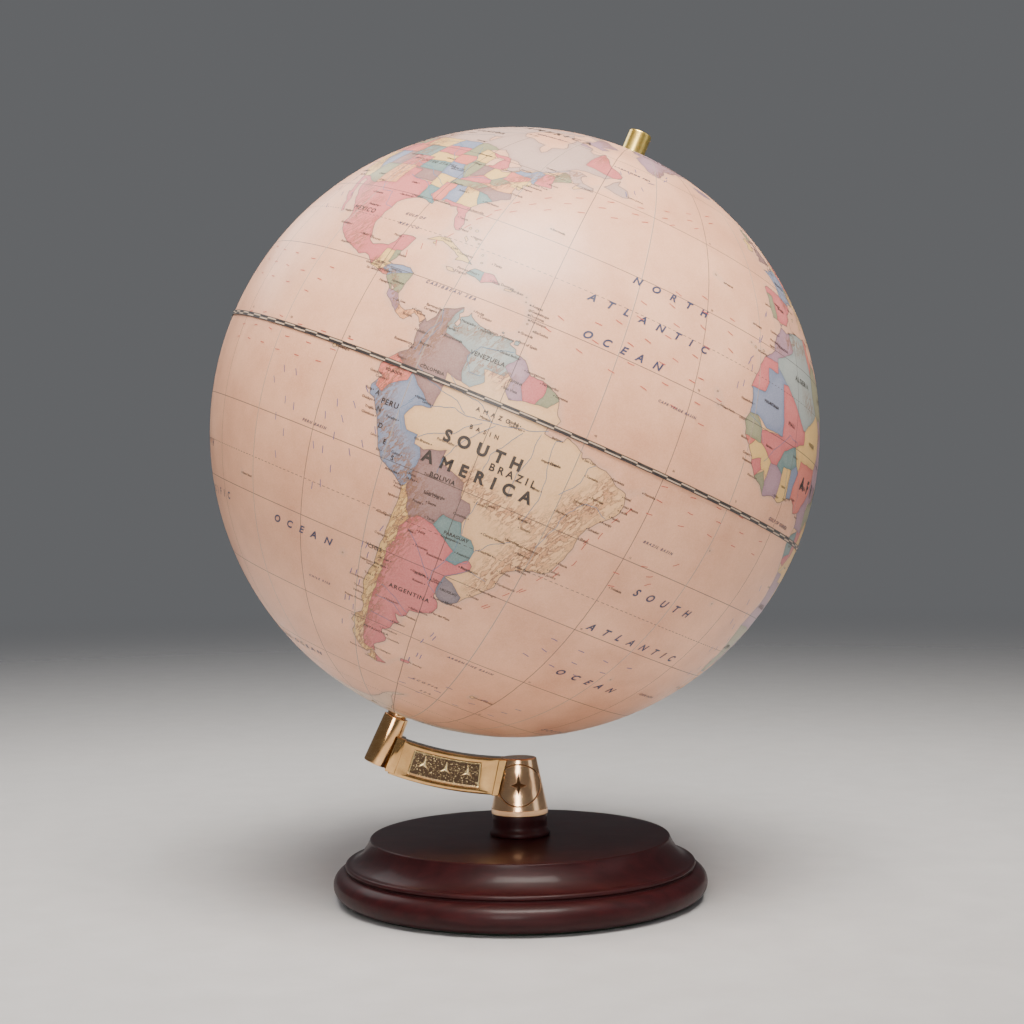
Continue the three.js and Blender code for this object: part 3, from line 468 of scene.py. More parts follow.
# Tinted countries. Later ones lie over earlier ones, and all are trimmed to the coasts.
COUNTRIES = """
sand -10 35 60 35 60 72 -10 72
rose -10 43.8 -1.8 43.4 3.3 42.4 0 36 -7.4 36.9 -7 42 -9 41.9
moss -10 41.9 -6.4 41.9 -7 38.2 -7.4 36.5 -10 36.5
sky -5 49 2.5 51.2 6 50 8.2 49 7.6 47.6 6 46.3 7.5 44 3.3 42.4 -1.8 43.4
straw 2.5 51.2 4.2 53 7.1 53.5 6.1 51 6.1 49.6
coral 6 50 7.1 54 8.5 55 11 54.5 14.3 54.2 14.9 51 12.3 50.2 13.8 48.7 13 47.5 7.6 47.6 8.2 49
moss 6 46.3 7.6 47.6 9.6 47.5 10.4 46.8 9 45.9
straw 7.5 44 7 45.8 10.4 46.8 13.5 46.6 14 45.2 19 41 18 36 12 36.5 8 38.5
apricot 9.6 47.5 13 47.6 13.8 48.7 17 48.6 16.2 46.8 13.5 46.6
straw 8 55 12.8 56.5 11 58 8 57.5
rose 14.3 54.3 14.8 50.9 18.8 49.5 22.6 49.1 24 50.6 23.5 54 19.6 54.6
moss 12.3 50.3 14.9 51 18.8 49.5 22.4 49 22 48.3 17 48.2 13.8 48.7
teal 16.2 46.8 17 48.1 22 48.3 22.8 48 21 46.2 18.8 45.9
straw 20.3 46 22.8 48 26.6 48.3 28.2 45.5 29.8 45 28.6 43.7 22.7 44.2
sky 13.5 46.6 16.2 46.8 18.8 45.9 20.3 46.1 22.7 44.2 22.4 42.3 19.4 41.9 14 44.5
moss 22.7 44.2 28.8 43.8 28 41.9 23 41.4 22.4 42.3
coral 19.4 41.9 22.4 42.3 23 41.4 28 41.9 26.2 40.7 27 34.5 21 34.5 19 39.8
sand 22.2 48.4 24 50.6 23.8 51.9 31 52.1 34.2 52.2 40 49.6 38.3 47 36 44 29.8 45 26.6 48.3
lilac 23.5 54 24 51.9 31 52.1 32.6 53.4 31 55.6 28 56
dusk 21 55.2 23.5 54 28 56 28 59.6 23.3 59.3 20.5 57.5
dusk 5 58 8 58 11.3 59 12.5 62 14 66 20 69 26 70 29 69.5 31 71.5 20 71 4 62
straw 11.3 59 12.5 62 14 66 20.5 69 24 66 20 60 17 55 12 55.4
sky 20.5 69 26 70 29 69.5 30 67.5 30 63 31.5 62.8 27.8 60.4 21 59.8 24 66
rose 28 56 31 55.6 32.6 53.4 34.2 52.2 40 49.6 38.3 47 37 44.5 41 43 47 41.5 48.5 46 47 48.5 47 50.5
 51 51.5 60 51 61.5 54 70 55.2 76.8 54 80 51 87 49.2 92 50.8 98 50 103 50 113 50 120 53.2 127 50 131 48
 135 48.4 133 45 131 43 150 43 162 50 195 64 190 72 110 80 40 75 29 70 30 67.5 30 63 31.5 62.8 27.8 60.4
 28 59.5
straw 26 41 28 42 42 41.6 44.5 39.5 44.8 37.2 36 36.8 27 36 25.5 40
moss 41 43 47 41.6 50 40.5 48.5 38.4 44.8 39.6 42 41.6
coral 36 37 42.3 37.2 41 34.3 36.5 32.3 35.5 34.8
dusk 34.2 31.3 35 33.2 36.5 32.3 39 32.2 37 29.3 34.9 29.4
apricot 42.3 37.2 44.8 37.2 46 35.5 45.5 33.8 48 31 48.5 29.8 44.7 29.2 39 32.2 41 34.3
teal 44.8 37.2 44.8 39.6 48.5 38.4 54 37.4 61 36.6 61 31.3 63 27.2 61.6 25 48 29.8 48 31 45.5 33.8 46 35.5
moss 34.9 29.4 37 29.3 39 32 44.7 29.2 48.5 28.5 51 24.6 55 22.7 52 19 47 17.2 43 16.5 34 27
lilac 43 16.5 47 17.2 52 19 53.2 16.6 45 12.6 42.8 12.9
straw 52 19 55 22.7 56.3 24.9 60 22.5 53.2 16.6
rose 51 24.6 55 22.7 56.3 24.9 56.4 26.3 51.5 24
dusk 61 36.6 66 37.4 71 38.3 74.8 37 69.4 34 69.3 31.8 66.4 29.7 61 29.8 61 31.3
straw 61.6 25 63 27.2 61 29.8 66.4 29.7 69.3 31.8 69.4 34 74.8 37 76 34.5 74 32 74.4 30.9 70 27.9 71 24.7
 68 23.6
sky 47 48.5 47 50.5 51 51.5 60 51 61.5 54 70 55.2 76.8 54 80 51 87 49.2 82.5 45.2 80.2 42.2 70.5 42.2
 66 41 56 45 53 42 49 46
moss 53 42 56 45.2 66 41 68.2 38.8 66 37.4 61 36.6 54 37.4
lilac 66 41 70.5 42.2 80.2 42.2 73.7 39.5 74.8 37.2 71 38.3 68.2 38.8
apricot 68 23.6 71 24.7 70 27.9 74.4 30.9 76 34.5 78.7 34.5 79 31 81 30.2 88 26.6 92 27 97.2 28.3
 94.2 23.8 92.3 21 85 18 81 14 79 7 76 8 72 15 68 21
teal 81 30.2 88.1 27.9 88.2 26.5 80.1 28.8
straw 88 26.3 92.4 25.1 92.4 20.8 88.8 21.4
coral 97.2 28.3 98.7 27.5 97.6 24 101.1 21.6 98 19.5 98.5 15 99.5 10 96 15 92.3 20.8 94.2 23.8
straw 73.7 39.5 80.2 42.2 82.5 45.2 87 49.2 91 46 96.5 42.8 105 41.6 111.8 43.8 119.8 46.7 116 49.8
 120 53.2 127 50 131 48 135 48.4 131 43 124.4 40 122 39 123 30 117 22 108 21.5 102 22.5 97.6 24 98.7 27.5
 92 27.8 88.1 27.9 81 30.3 78.7 32 78 35.5 74.8 37.2
rose 87 49.2 92 50.8 98 50 113 50 116 49.8 119.8 46.7 111.8 43.8 105 41.6 96.5 42.8 91 46
coral 124.4 40 131 43 129 37.8 126 37.8
moss 126 37.9 129 38.3 130 35 126 34
moss 128 30 132 34.5 137 38 139 46 146 45 142 34
teal 119 26 123 26 122 21 119 21
moss 98 19.5 101.1 21.6 102 18 105 16 103 12.5 101 12.5 100 7.5 102 6.4 98 6 97 12
sky 101.1 21.6 102 22.5 104 20 107.6 15 105.4 14.4 105 16 102 18
rose 102 22.5 108 21.5 110 12 105 8 104.5 10.4 107.5 12.4 107.6 15 104 20
straw 102.4 12 103 14.3 105.4 14.4 107.6 14 107.5 12.4 104.5 10.4
apricot 100 6.4 102 6.4 105 4 104.5 1.3 100 3
apricot 109.3 2 111 1 115 1.5 118 4.2 120 6 114 7
dusk 116 20 127 20 128 4 120 4
sand 94 6 120 1 141 1 141 -10 110 -12 94 0
sand 110 -9 156 -9 156 -45 110 -45
straw 110 -12 129 -12 129 -36 110 -36
rose 129 -10 138 -10 138 -26 129 -26
moss 129 -26 141 -26 141 -40 129 -35
sky 138 -9 156 -9 156 -28.5 149 -29 141 -29 141 -26 138 -26
apricot 141 -29 149 -29 155 -28 153 -38 150 -37.5 141 -34
lilac 141 -34 150 -37.5 148 -40 141 -40
coral 143 -40 150 -40 150 -45 143 -45
teal 141 0 156 -3 156 -12 141 -9.5
rose 165 -33 180 -33 180 -48 165 -48
straw 79 11 83 11 83 5 79 5
dusk -7 49.5 2.5 50 2.5 54 -2 56 -8 55
moss -8 55 -2 55.7 0 62 -10 62
straw -11 51 -6 51 -5.8 54 -7 54.2 -7 55.6 -11 55.6
lilac -25 63 -13 63 -13 67 -25 67
mist -180 -60 180 -60 180 -90 -180 -90
ash -142 49 -95 49 -89 48 -84 46 -82 41.7 -79 43.3 -75 45 -69 47.4 -66 44.8 -50 42 -50 84 -142 84
rose -64.4 60.5 -66.8 55.4 -66.6 52.6 -57.2 51.5 -55.6 53 -61 57.5
straw -141 60 -141 75 -172 75 -172 50 -130 54 -130.1 56 -135.5 59.8 -137.5 59
moss -124.8 49 -117 49 -117 46 -126 46
rose -126 46.2 -117 46 -117 42 -126 42
straw -126 42 -120 42 -120 39 -114.6 35 -114.6 32.6 -117.2 32.4 -125 38
sky -120 42 -114 42 -114 36 -114.6 35 -120 39
coral -117 49 -116 49 -113 44.5 -111 44.5 -111 42 -117 42
straw -116 49 -104 49 -104 45 -111 45 -113 44.5
teal -111 45 -104 45 -104 41 -111 41
dusk -114 42 -111 42 -111 41 -109 41 -109 37 -114 37
rose -109 41 -102 41 -102 37 -109 37
moss -114.6 37 -109 37 -109 31.3 -111 31.3 -114.8 32.5
apricot -109 37 -103 37 -103 32 -106.6 31.8 -109 31.3
sky -104 49 -97 49 -96.5 46 -104 46
rose -104 46 -96.5 46 -96.5 42.8 -104 43
straw -104 43 -96.5 42.6 -95.4 40 -102 40 -102 41 -104 41
teal -102 40 -95 40 -94.6 37 -102 37
dusk -103 37 -94.5 37 -94.5 33.8 -100 34.4 -100 36.5 -103 36.5
rose -103 36.5 -100 36.5 -100 34.4 -94.3 33.5 -93.7 29 -97 25.5 -99.5 27.3 -101.4 29.8 -103 29 -104.5 29.6
 -106.6 31.8 -103 32
moss -97 49 -95 49.2 -89.5 48 -92 46.6 -92.8 45 -91.2 43.5 -96.5 43.5
coral -96.5 43.5 -91.2 43.5 -90.2 41.8 -91.4 40.4 -95.8 40.6
sky -95.8 40.6 -91.4 40.4 -89.2 37 -89.5 36 -94.6 36.5
straw -94.6 36.5 -90 36.5 -91 33 -94.2 33
teal -94 33 -91 33 -91.5 31 -89.6 31 -88.5 28.5 -93.8 28.5
straw -92.8 46.8 -90 46.6 -87.5 45 -87.5 42.5 -90.7 42.5 -92.8 44.8
moss -90.7 42.5 -87.5 42.5 -87.6 39 -88.5 37 -89.4 37.2 -91.4 40
rose -90 46.6 -84 46.5 -82.4 43 -83.4 41.7 -87 41.7 -86.3 45 -88 45.6
dusk -87.5 41.7 -84.8 41.7 -84.8 39 -88 37.9
straw -84.8 41.7 -80.5 42 -80.5 40.5 -82.5 38.5 -84.8 39
rose -89.4 37 -84.8 39.1 -82.5 38.4 -82 37.5 -83.7 36.6 -89.4 36.5
moss -90 36.5 -81.7 36.6 -84.3 35 -90.3 35
coral -91 35 -88.2 35 -88.4 29.5 -89.6 29.8 -91.5 31 -91 33
sky -88.2 35 -85.6 35 -85 32.5 -85 31 -87.6 31 -88.4 29.5
straw -85.6 35 -83 35 -80 32 -81 30.7 -85 31 -85 32.5
rose -87.6 31 -81.5 30.8 -79 27 -80 24 -84.5 28.5 -87.5 29.5
teal -83 35.2 -80.8 34.9 -78 33.5 -80.6 31.6
dusk -84 35 -81.7 36.6 -75 36.6 -74.8 34.8 -78.5 33.5 -80.8 34.8
apricot -83.7 36.6 -82 37.5 -79.5 38.5 -77.7 39.4 -75 37.8 -75 36.6
moss -82.5 38.4 -80.6 40.6 -77.8 39.5 -80.3 37.5 -82 37.4
coral -80.5 42.2 -75 42 -74.8 40.2 -80.5 39.7
sky -79.8 42.2 -79 43.3 -76.3 43.6 -74.9 45 -73.3 45 -73.5 41 -71.9 40.8 -74 40.3 -75 42
straw -77.7 39.7 -74.8 41.2 -73.5 40.5 -74.5 38.4 -77.5 38.4
rose -73.3 45 -70.8 45.2 -70.4 43 -69.5 41.3 -73.6 41.1
moss -71 45.2 -69.2 47.4 -67.8 47 -66.5 44.5 -70.7 43
rose -117.3 32.6 -114.8 32.5 -111 31.3 -108.2 31.3 -106.5 31.8 -104.5 29.6 -103 29 -101.4 29.8 -99.5 27.3
 -96 25.9 -95 22 -94.5 19 -92 19.5 -90.5 22.5 -86 22 -87.5 18 -88.3 18.5 -89.2 17.9 -91 17.9 -91.4 16.1
 -92.2 14.5 -93 13.5 -106 17 -116 27
straw -91 17.9 -89.2 17.9 -89.2 15.9 -88.3 15.7 -89.4 14.4 -90.1 13.2 -92.4 14.3 -91.4 16.1
moss -89.2 18.2 -87.7 18.6 -88 15.8 -89.2 15.9
sky -89.4 14.4 -88.3 15.7 -86 16.5 -83 15.8 -83.1 15 -86.5 13.8 -87.5 13.1
coral -90.1 13.8 -89.4 14.5 -87.7 13.9 -87.7 12.8 -90 12.8
moss -87.7 13 -86.5 13.9 -83.1 15.1 -83 10.9 -85.7 11.1 -88 12.5
lilac -86.2 11.2 -83.6 11 -82.5 9.6 -82.9 8 -86.5 9.5
apricot -82.9 7.5 -82.5 9.8 -77.3 9.8 -77.3 8.6 -77.9 7.2 -80 6.5
straw -86 24 -73.9 24 -73.9 20 -75 19.5 -86 19.5
teal -75 20.5 -71.7 20.5 -71.7 17.3 -75 17.3
rose -71.7 20.5 -68 20.5 -68 17.3 -71.7 17.3
lilac -75 61 -10 58 -10 84 -60 84 -74 78.5
sand -75 6 -33 6 -33 -35 -75 -35
dusk -77.3 8.7 -77 12.8 -71.2 12.8 -72.5 11 -73.2 9.2 -72.4 7.3 -70.1 7 -67.5 6.2 -67.8 3 -67 1.2
 -69.8 1.7 -69.5 -0.6 -70 -4.3 -72.9 -2.4 -75.3 -0.2 -77.4 0.4 -79 1.5 -80 3 -78.5 7
mist -71.2 12.8 -72.5 11 -73.2 9.2 -72.4 7.3 -70.1 7 -67.5 6.2 -67.8 3 -67 1.2 -65.5 0.8 -63.4 2.2
 -64.5 4.2 -61 4.5 -60.7 5.2 -61.4 6 -60.4 7.2 -59.8 8.4 -60.5 11.2
lilac -59.8 8.8 -60.4 7.2 -61.4 6 -60.7 5.2 -59.8 4.5 -59.8 2.2 -58.8 1.3 -56.5 1.9 -58 4 -57.2 6.5
rose -57.2 6.6 -58 4 -56.5 1.9 -54.6 2.3 -54 3.6 -54.2 6.6
moss -54.2 6.4 -54 3.6 -54.6 2.3 -52.7 2.2 -51.3 4.4 -52 6
coral -79 1.6 -77.4 0.4 -75.3 -0.2 -75.6 -1.6 -78.2 -3.4 -79 -5 -80.4 -4.4 -80.3 -3.4 -81.8 -3 -81.5 1.5
sky -80.3 -3.4 -80.4 -4.4 -79 -5 -78.2 -3.4 -75.6 -1.6 -75.3 -0.2 -72.9 -2.4 -70 -4.3 -72.9 -5.2
 -73.9 -7.4 -72.7 -9.5 -70.5 -9.5 -70.6 -11 -68.7 -11.1 -68.8 -12.5 -69.3 -15.3 -69 -16.4 -69.8 -17.7
 -70.4 -18.4 -76 -18 -83 -6 -82 -3
dusk -69.5 -11 -68.7 -11.1 -65.3 -9.8 -65.3 -11.9 -60.5 -13.8 -60.2 -16.2 -58.3 -16.3 -57.6 -18
 -58.2 -19.9 -61.8 -19.8 -62.7 -22.1 -66.2 -21.8 -67.2 -22.8 -68.2 -21.3 -68.7 -19.5 -69.5 -17.5 -69 -16.4
 -69.3 -15.3 -68.8 -12.5
rose -67.2 -22.8 -66.2 -21.8 -62.7 -22.1 -60 -23.9 -57.7 -25.3 -58.6 -27.3 -56.5 -27.4 -54.7 -25.6
 -53.7 -26.2 -53.8 -27.2 -57.6 -30.2 -58.2 -32 -58.4 -34 -54 -37 -60 -45 -56 -51 -62 -56 -68.6 -56 -72 -52
 -72 -23
straw -70.4 -18.3 -69.5 -17.6 -68.7 -19.5 -68.2 -21.3 -67.2 -22.8 -68.4 -24.5 -68.6 -27 -69.8 -29.5
 -70 -33.3 -70.5 -36 -71.2 -39 -71.8 -42 -71.7 -44.8 -71.8 -47 -73.2 -49.5 -72.3 -51.8 -68.5 -52.4
 -68.6 -56 -77 -56 -78 -45 -74 -30 -72 -18
teal -62.7 -22.1 -61.8 -19.8 -58.2 -19.9 -57.9 -22.1 -55.6 -22.3 -54.3 -24.1 -54.7 -25.6 -56.5 -27.4
 -58.6 -27.3 -57.7 -25.3 -60 -23.9
slate -57.6 -30.2 -56 -30.8 -53.2 -32.8 -53.4 -33.8 -54.5 -36 -58.5 -34.3 -58.2 -32
lilac -6 36.5 -1.8 36 -1.8 35 -1.2 32.3 -4 30.6 -8.7 28.7 -8.7 27.7 -14 27.7 -12 33
rose -14 27.7 -8.7 27.7 -8.7 26 -12 26 -12 23.4 -13 21.3 -18 21 -17.5 24
mist -8.7 28.7 -4 30.6 -1.2 32.3 -1.8 35.5 -2 37 8.5 38 8.3 33 9.5 30.2 9.9 26.5 12 23.5 5.7 19.4 3.2 19
 -4.8 25 -8.7 27.3
sky -18 21 -13 21.3 -12 23.4 -12 26 -8.7 26 -8.7 27.3 -4.8 25 -6.5 25 -5.5 15.5 -11 15.3 -14.5 16.6
 -17.5 16
coral 8.5 38 12 38 11.5 33.1 9.5 30.2 8.3 33
moss 11.5 33.5 25.2 33.5 25 22 24 19.5 16 23.2 14.2 22.6 12 23.5 9.9 26.5 9.5 30.2
straw 25 32.5 34.2 31.8 34.9 29.5 38 22 25 22
rose -12.2 14.8 -5.5 15.5 -6.5 25 -4.8 25 3.2 19 4.2 19 4.2 16.5 0.2 15 -4 13.5 -5.5 10.4 -8 10.2
 -11.4 12.4
straw 4.2 19.2 12 23.5 14.2 22.6 15.5 20.5 15.5 16.5 13.6 13.7 4 13.5 3.6 11.7 1 13 0.2 15 4.2 16.5
lilac 14.2 22.8 16 23.4 24 19.5 24 15.7 22.4 12.7 19 9 15.5 7.5 14 10 13.6 13.7 15.5 16.5 15.5 20.5
rose 25 22 38 22 38.8 18 36.4 14.5 34.3 10.6 24 8.8 22.4 12.7 24 15.7 24 20
moss 24 8.8 34.3 10.6 33 8 35.9 4.6 30.8 3.6 27.4 5.1
straw 36.4 14.5 40 14.5 42.4 12.4 41.8 11 43 9.2 48 8 45 5 41.9 4 36 4.5 33 8 34.3 10.6
sky 36.4 14.6 38.6 18.3 43.5 12.5 42.4 12.3 40 14.5
dusk 43 11.6 53 12.5 52 7 41.5 -2 41 3 41.9 4 45 5 48 8 43 9.2
coral 34 4.4 36 4.5 41.9 4 41 -1 41.6 -2 39.2 -5 34 -1
sky 31 3.8 34 4.2 34 -1 29.6 -1.4
moss 30.5 -1 34 -1 39.2 -4.8 41.5 -10.5 34.6 -11.6 32.9 -9.4 30.7 -8.3 29.4 -6 29.5 -3
straw 11.5 -6 13 -4.6 16.2 -2 18 3.5 19 5 27.4 5.1 30.8 3.6 29.6 -1.4 29.2 -6 30.7 -8.3 28.4 -9.2
 29.8 -12.2 27.5 -12.2 22 -11 21.8 -7.3 17 -7.4 16.5 -5.9
rose 10.5 -4 13 -4.6 16.2 -2 18 3.5 16 2.2 13.2 2.2 14.2 -1.9 11.5 -2.8
teal 8.5 -1 9.5 1 13.2 2.2 14.2 -1.9 11.5 -2.8 10.5 -4
lilac 8.5 4.3 14.5 13 15.5 10 14.5 6 16 2.2 9.5 2.2
moss 14.5 6 15.5 7.5 19 9 22.8 11 27.4 5.1 19 5 18 3.5 16 2.2
coral 2.7 6 2.8 9 3.6 11.7 4 13.5 13.6 13.7 13.2 9.6 8.5 4.5 5 3.8
sky 1.2 5.8 0.5 8 0 11 2.2 12.4 3.6 11.7 2.8 9 2.7 6
teal -5.5 10.4 -4 13.5 0.2 15 2.2 12.4 0 11 -2.8 11 -2.8 9.7
straw -3.2 4.5 -2.8 9.7 -2.8 11 0 11.1 0.5 8 1.2 5.5
lilac -7.6 4 -8.5 6.5 -8 10.2 -5.5 10.4 -2.8 9.7 -3.2 4.5
moss -12 6.8 -9.5 8.4 -8.5 6.5 -7.6 4 -9 4
rose -13.8 9 -11 10 -10.3 8.4 -11.6 6.8 -13 7
straw -15.5 11 -13.7 12.6 -11.4 12.4 -8 10.2 -8.5 7.5 -9.5 8.4 -10.3 8.4 -11 10 -13.8 9
moss -18 14.7 -16.7 16.3 -14.5 16.6 -12.2 14.8 -11.4 12.4 -13.7 12.6 -17.2 12.3
coral -17.2 12.3 -13.7 12.6 -15.5 10.8
lilac 11 -17.2 11.5 -6 16.5 -5.9 17 -7.4 21.8 -7.3 22 -11 24 -13 22 -16.3 23.4 -17.6
sky 22 -16.3 24 -13 22 -11 27.5 -12.2 29.8 -12.2 28.4 -9.2 30.7 -8.3 33 -9.4 33.2 -14 30.3 -15.6 27 -17.9
 25.3 -17.8
rose 34.6 -11.6 41.5 -10.5 42 -16 33.5 -27 32 -26.8 31.3 -22.4 33 -20 33 -16 30.3 -15.6 33.2 -14
 35.3 -14.5
straw 25.3 -17.8 27 -17.9 30.3 -15.6 33 -16.5 33 -20 31.3 -22.4 29.4 -22.2
dusk 20 -22 21 -18.3 25.3 -17.8 29.4 -22.2 25.6 -25.6 20.7 -26.9 20 -24.8
moss 11 -17.2 23.4 -17.6 25.3 -17.8 21 -18.3 21 -22 20 -22 20 -28.5 16 -29 13 -24
apricot 15.5 -28.7 20 -28.5 20 -24.8 20.7 -26.9 25.6 -25.6 29.4 -22.2 31.3 -22.4 32 -26.8 34 -27 27 -36
 17 -36
sky 27 -29.6 28.7 -28.6 29.4 -29.5 28 -30.6
teal 42 -11 52 -11 52 -26 42 -26
"""

RIVERS = """
amazon -74 -4.8 -73 -3.5 -70 -4.1 -66.5 -3 -64.5 -3.6 -60 -3.2 -58 -3 -55.5 -2 -53 -1.6 -51 -1
negro -69 1.5 -67 0 -65 -0.4 -62.5 -1.2 -60 -3.1
japura -75 1 -72 -0.5 -69.5 -1.4 -66.5 -1.8 -64.8 -3.2
ucayali -73.5 -10 -74.5 -8 -75 -6.5 -73.5 -4.6
purus -70.5 -10 -68 -8 -65 -7.2 -63 -5 -61.5 -3.8
madeira -65.4 -14 -65.2 -11 -64 -8.8 -61.5 -6 -59 -3.4
tapajos -58.5 -11.5 -58 -8 -56.5 -5.5 -54.8 -2.6
xingu -53 -13 -53 -9 -52 -6 -52.3 -3 -52 -1.8
tocantins -49 -16 -48.5 -12 -48.3 -8 -49.3 -5 -49.5 -2 -48.6 -1.5
sao_francisco -45.2 -19 -44 -15 -43.3 -12 -41 -9.2 -38.8 -9 -36.5 -10.4
parnaiba -45.5 -9.5 -43 -6.5 -42.6 -4 -41.8 -2.9
orinoco -64.5 3 -66.5 3.2 -67.8 5.5 -66.5 7.6 -63.5 8.1 -61 8.8
magdalena -75.5 2.5 -74.9 5 -74 8 -74.8 11
cauca -76.5 3 -75.6 6.5 -74.5 9
parana -49.5 -20 -52 -21.5 -54.3 -24 -54.8 -26.3 -58.5 -27.3 -60 -30 -60.5 -32.5 -58.6 -34
paraguay -57 -15.5 -57.7 -19 -57.8 -22 -57.7 -25.3 -58.6 -27.3
uruguay -50.5 -28 -54 -27.2 -57.5 -30 -58.1 -33.5
salado -66.5 -24.5 -63.5 -28 -60.7 -31.6
colorado_s -69.5 -36.5 -66 -38 -62.3 -39.8
negro_s -70.5 -39.2 -66 -39.3 -63 -41
chubut -71 -43 -65.2 -43.3
mississippi -95 47.2 -93 44.8 -91 43 -90.5 40.5 -89.3 37 -91 34 -91.3 31.2 -89.5 29.2
missouri -112 46 -109 47.7 -104 47.9 -101 46.5 -99 43.5 -96 41.5 -94.5 39.1 -90.3 38.7
ohio -80 40.5 -82.5 38.6 -86 38 -89.2 37
arkansas -105 38.4 -99 37.8 -95.5 35.8 -91.2 33.9
red -101 34.5 -96 33.8 -93.5 32 -91.6 31
rio_grande -106.6 37.5 -106.5 32 -104 29.5 -101 29.6 -99.3 26.6 -97.3 26
colorado -107 40 -110 38.2 -112.5 36.2 -114.6 34.5 -114.8 32
columbia -117 50.5 -118 48 -119.5 46 -124 46.2
saskatchewan -114 51.5 -108 52.4 -101.5 53.8 -98.5 53.2
mackenzie -116.5 61.3 -123 62 -128 66 -134 68.9
yukon -134 61 -139 64 -146 66.3 -154 64.8 -160 62 -164 62.6
st_lawrence -76.3 44.2 -73.5 45.6 -71 47 -68.5 48.6
churchill -106 55.8 -100 56.5 -94.4 58.6
nile 33 2 31.5 6 31 9.5 32.5 15.5 34 19 32 20 31.2 24.5 31 28 31.2 30.2
blue_nile 37.5 12 36 10.5 34.3 12 32.6 15.4
congo 26 -10 25.5 -4 25 0.5 22 2 18.5 1 16.5 -2 15.3 -4.5 12.6 -6
niger -10 9.8 -7 13 -3 16.6 0.5 16 3 12.5 6.3 7.5 6.2 4.6
zambezi 24 -12.5 24 -16 26 -17.9 30 -15.7 33.5 -16.5 36 -18.6
orange 28 -29 24 -29 20 -28.8 16.6 -28.6
senegal -11 12.5 -12.5 15 -16.4 16
volta -1.5 11 0 7 0.6 5.8
danube 8.5 48 13 48.6 17 48 19 47 20 45 24 43.8 28 44.5 29.4 45.2
rhine 8.5 47.5 8.2 49.5 6.5 51.7 4.2 52
volga 33 57 38 57.5 44 56.2 49 55.5 48 52 46 49 47.8 46
don 39 53 41.5 49.5 39.5 47.3
dnieper 32 54.5 31 51 35 48.3 32.6 46.7
ob 85 52.5 82 56 77 60 68 61.5 66 65 70 66.8
irtysh 84 48 76 53 69 58 68.8 61
yenisei 95 52 92 56 90 61 87 66 83.5 70.5
lena 107 54 116 60 125 61.5 127 66 126.5 71.5
amur 116 51 121 53.3 127.5 49.8 132 47.7 137 50.5 141 53
yellow 97 34.5 103.5 36 106.5 39.5 111 40.5 110.5 35 115 35.2 118.8 37.6
yangtze 91 33.5 98 32 102 26.3 107 29.5 111.5 30.5 116 29.8 119 32 121.5 31.5
mekong 94 32.5 99 26 101 20 104.7 16.5 106 12 106.3 10
ganges 78.5 30.5 82 25.5 88 24.5 90.3 22.8
brahmaputra 82 30.3 90 29.2 95 29 92 26.5 89.7 24.5
indus 80 32 74.5 35.5 72 33 70.5 29 67.7 24.5
tigris 40 38.2 43 36.3 44.4 33 47.8 30.4
murray 147.5 -36 144 -35.5 140 -34 139 -35.4
"""

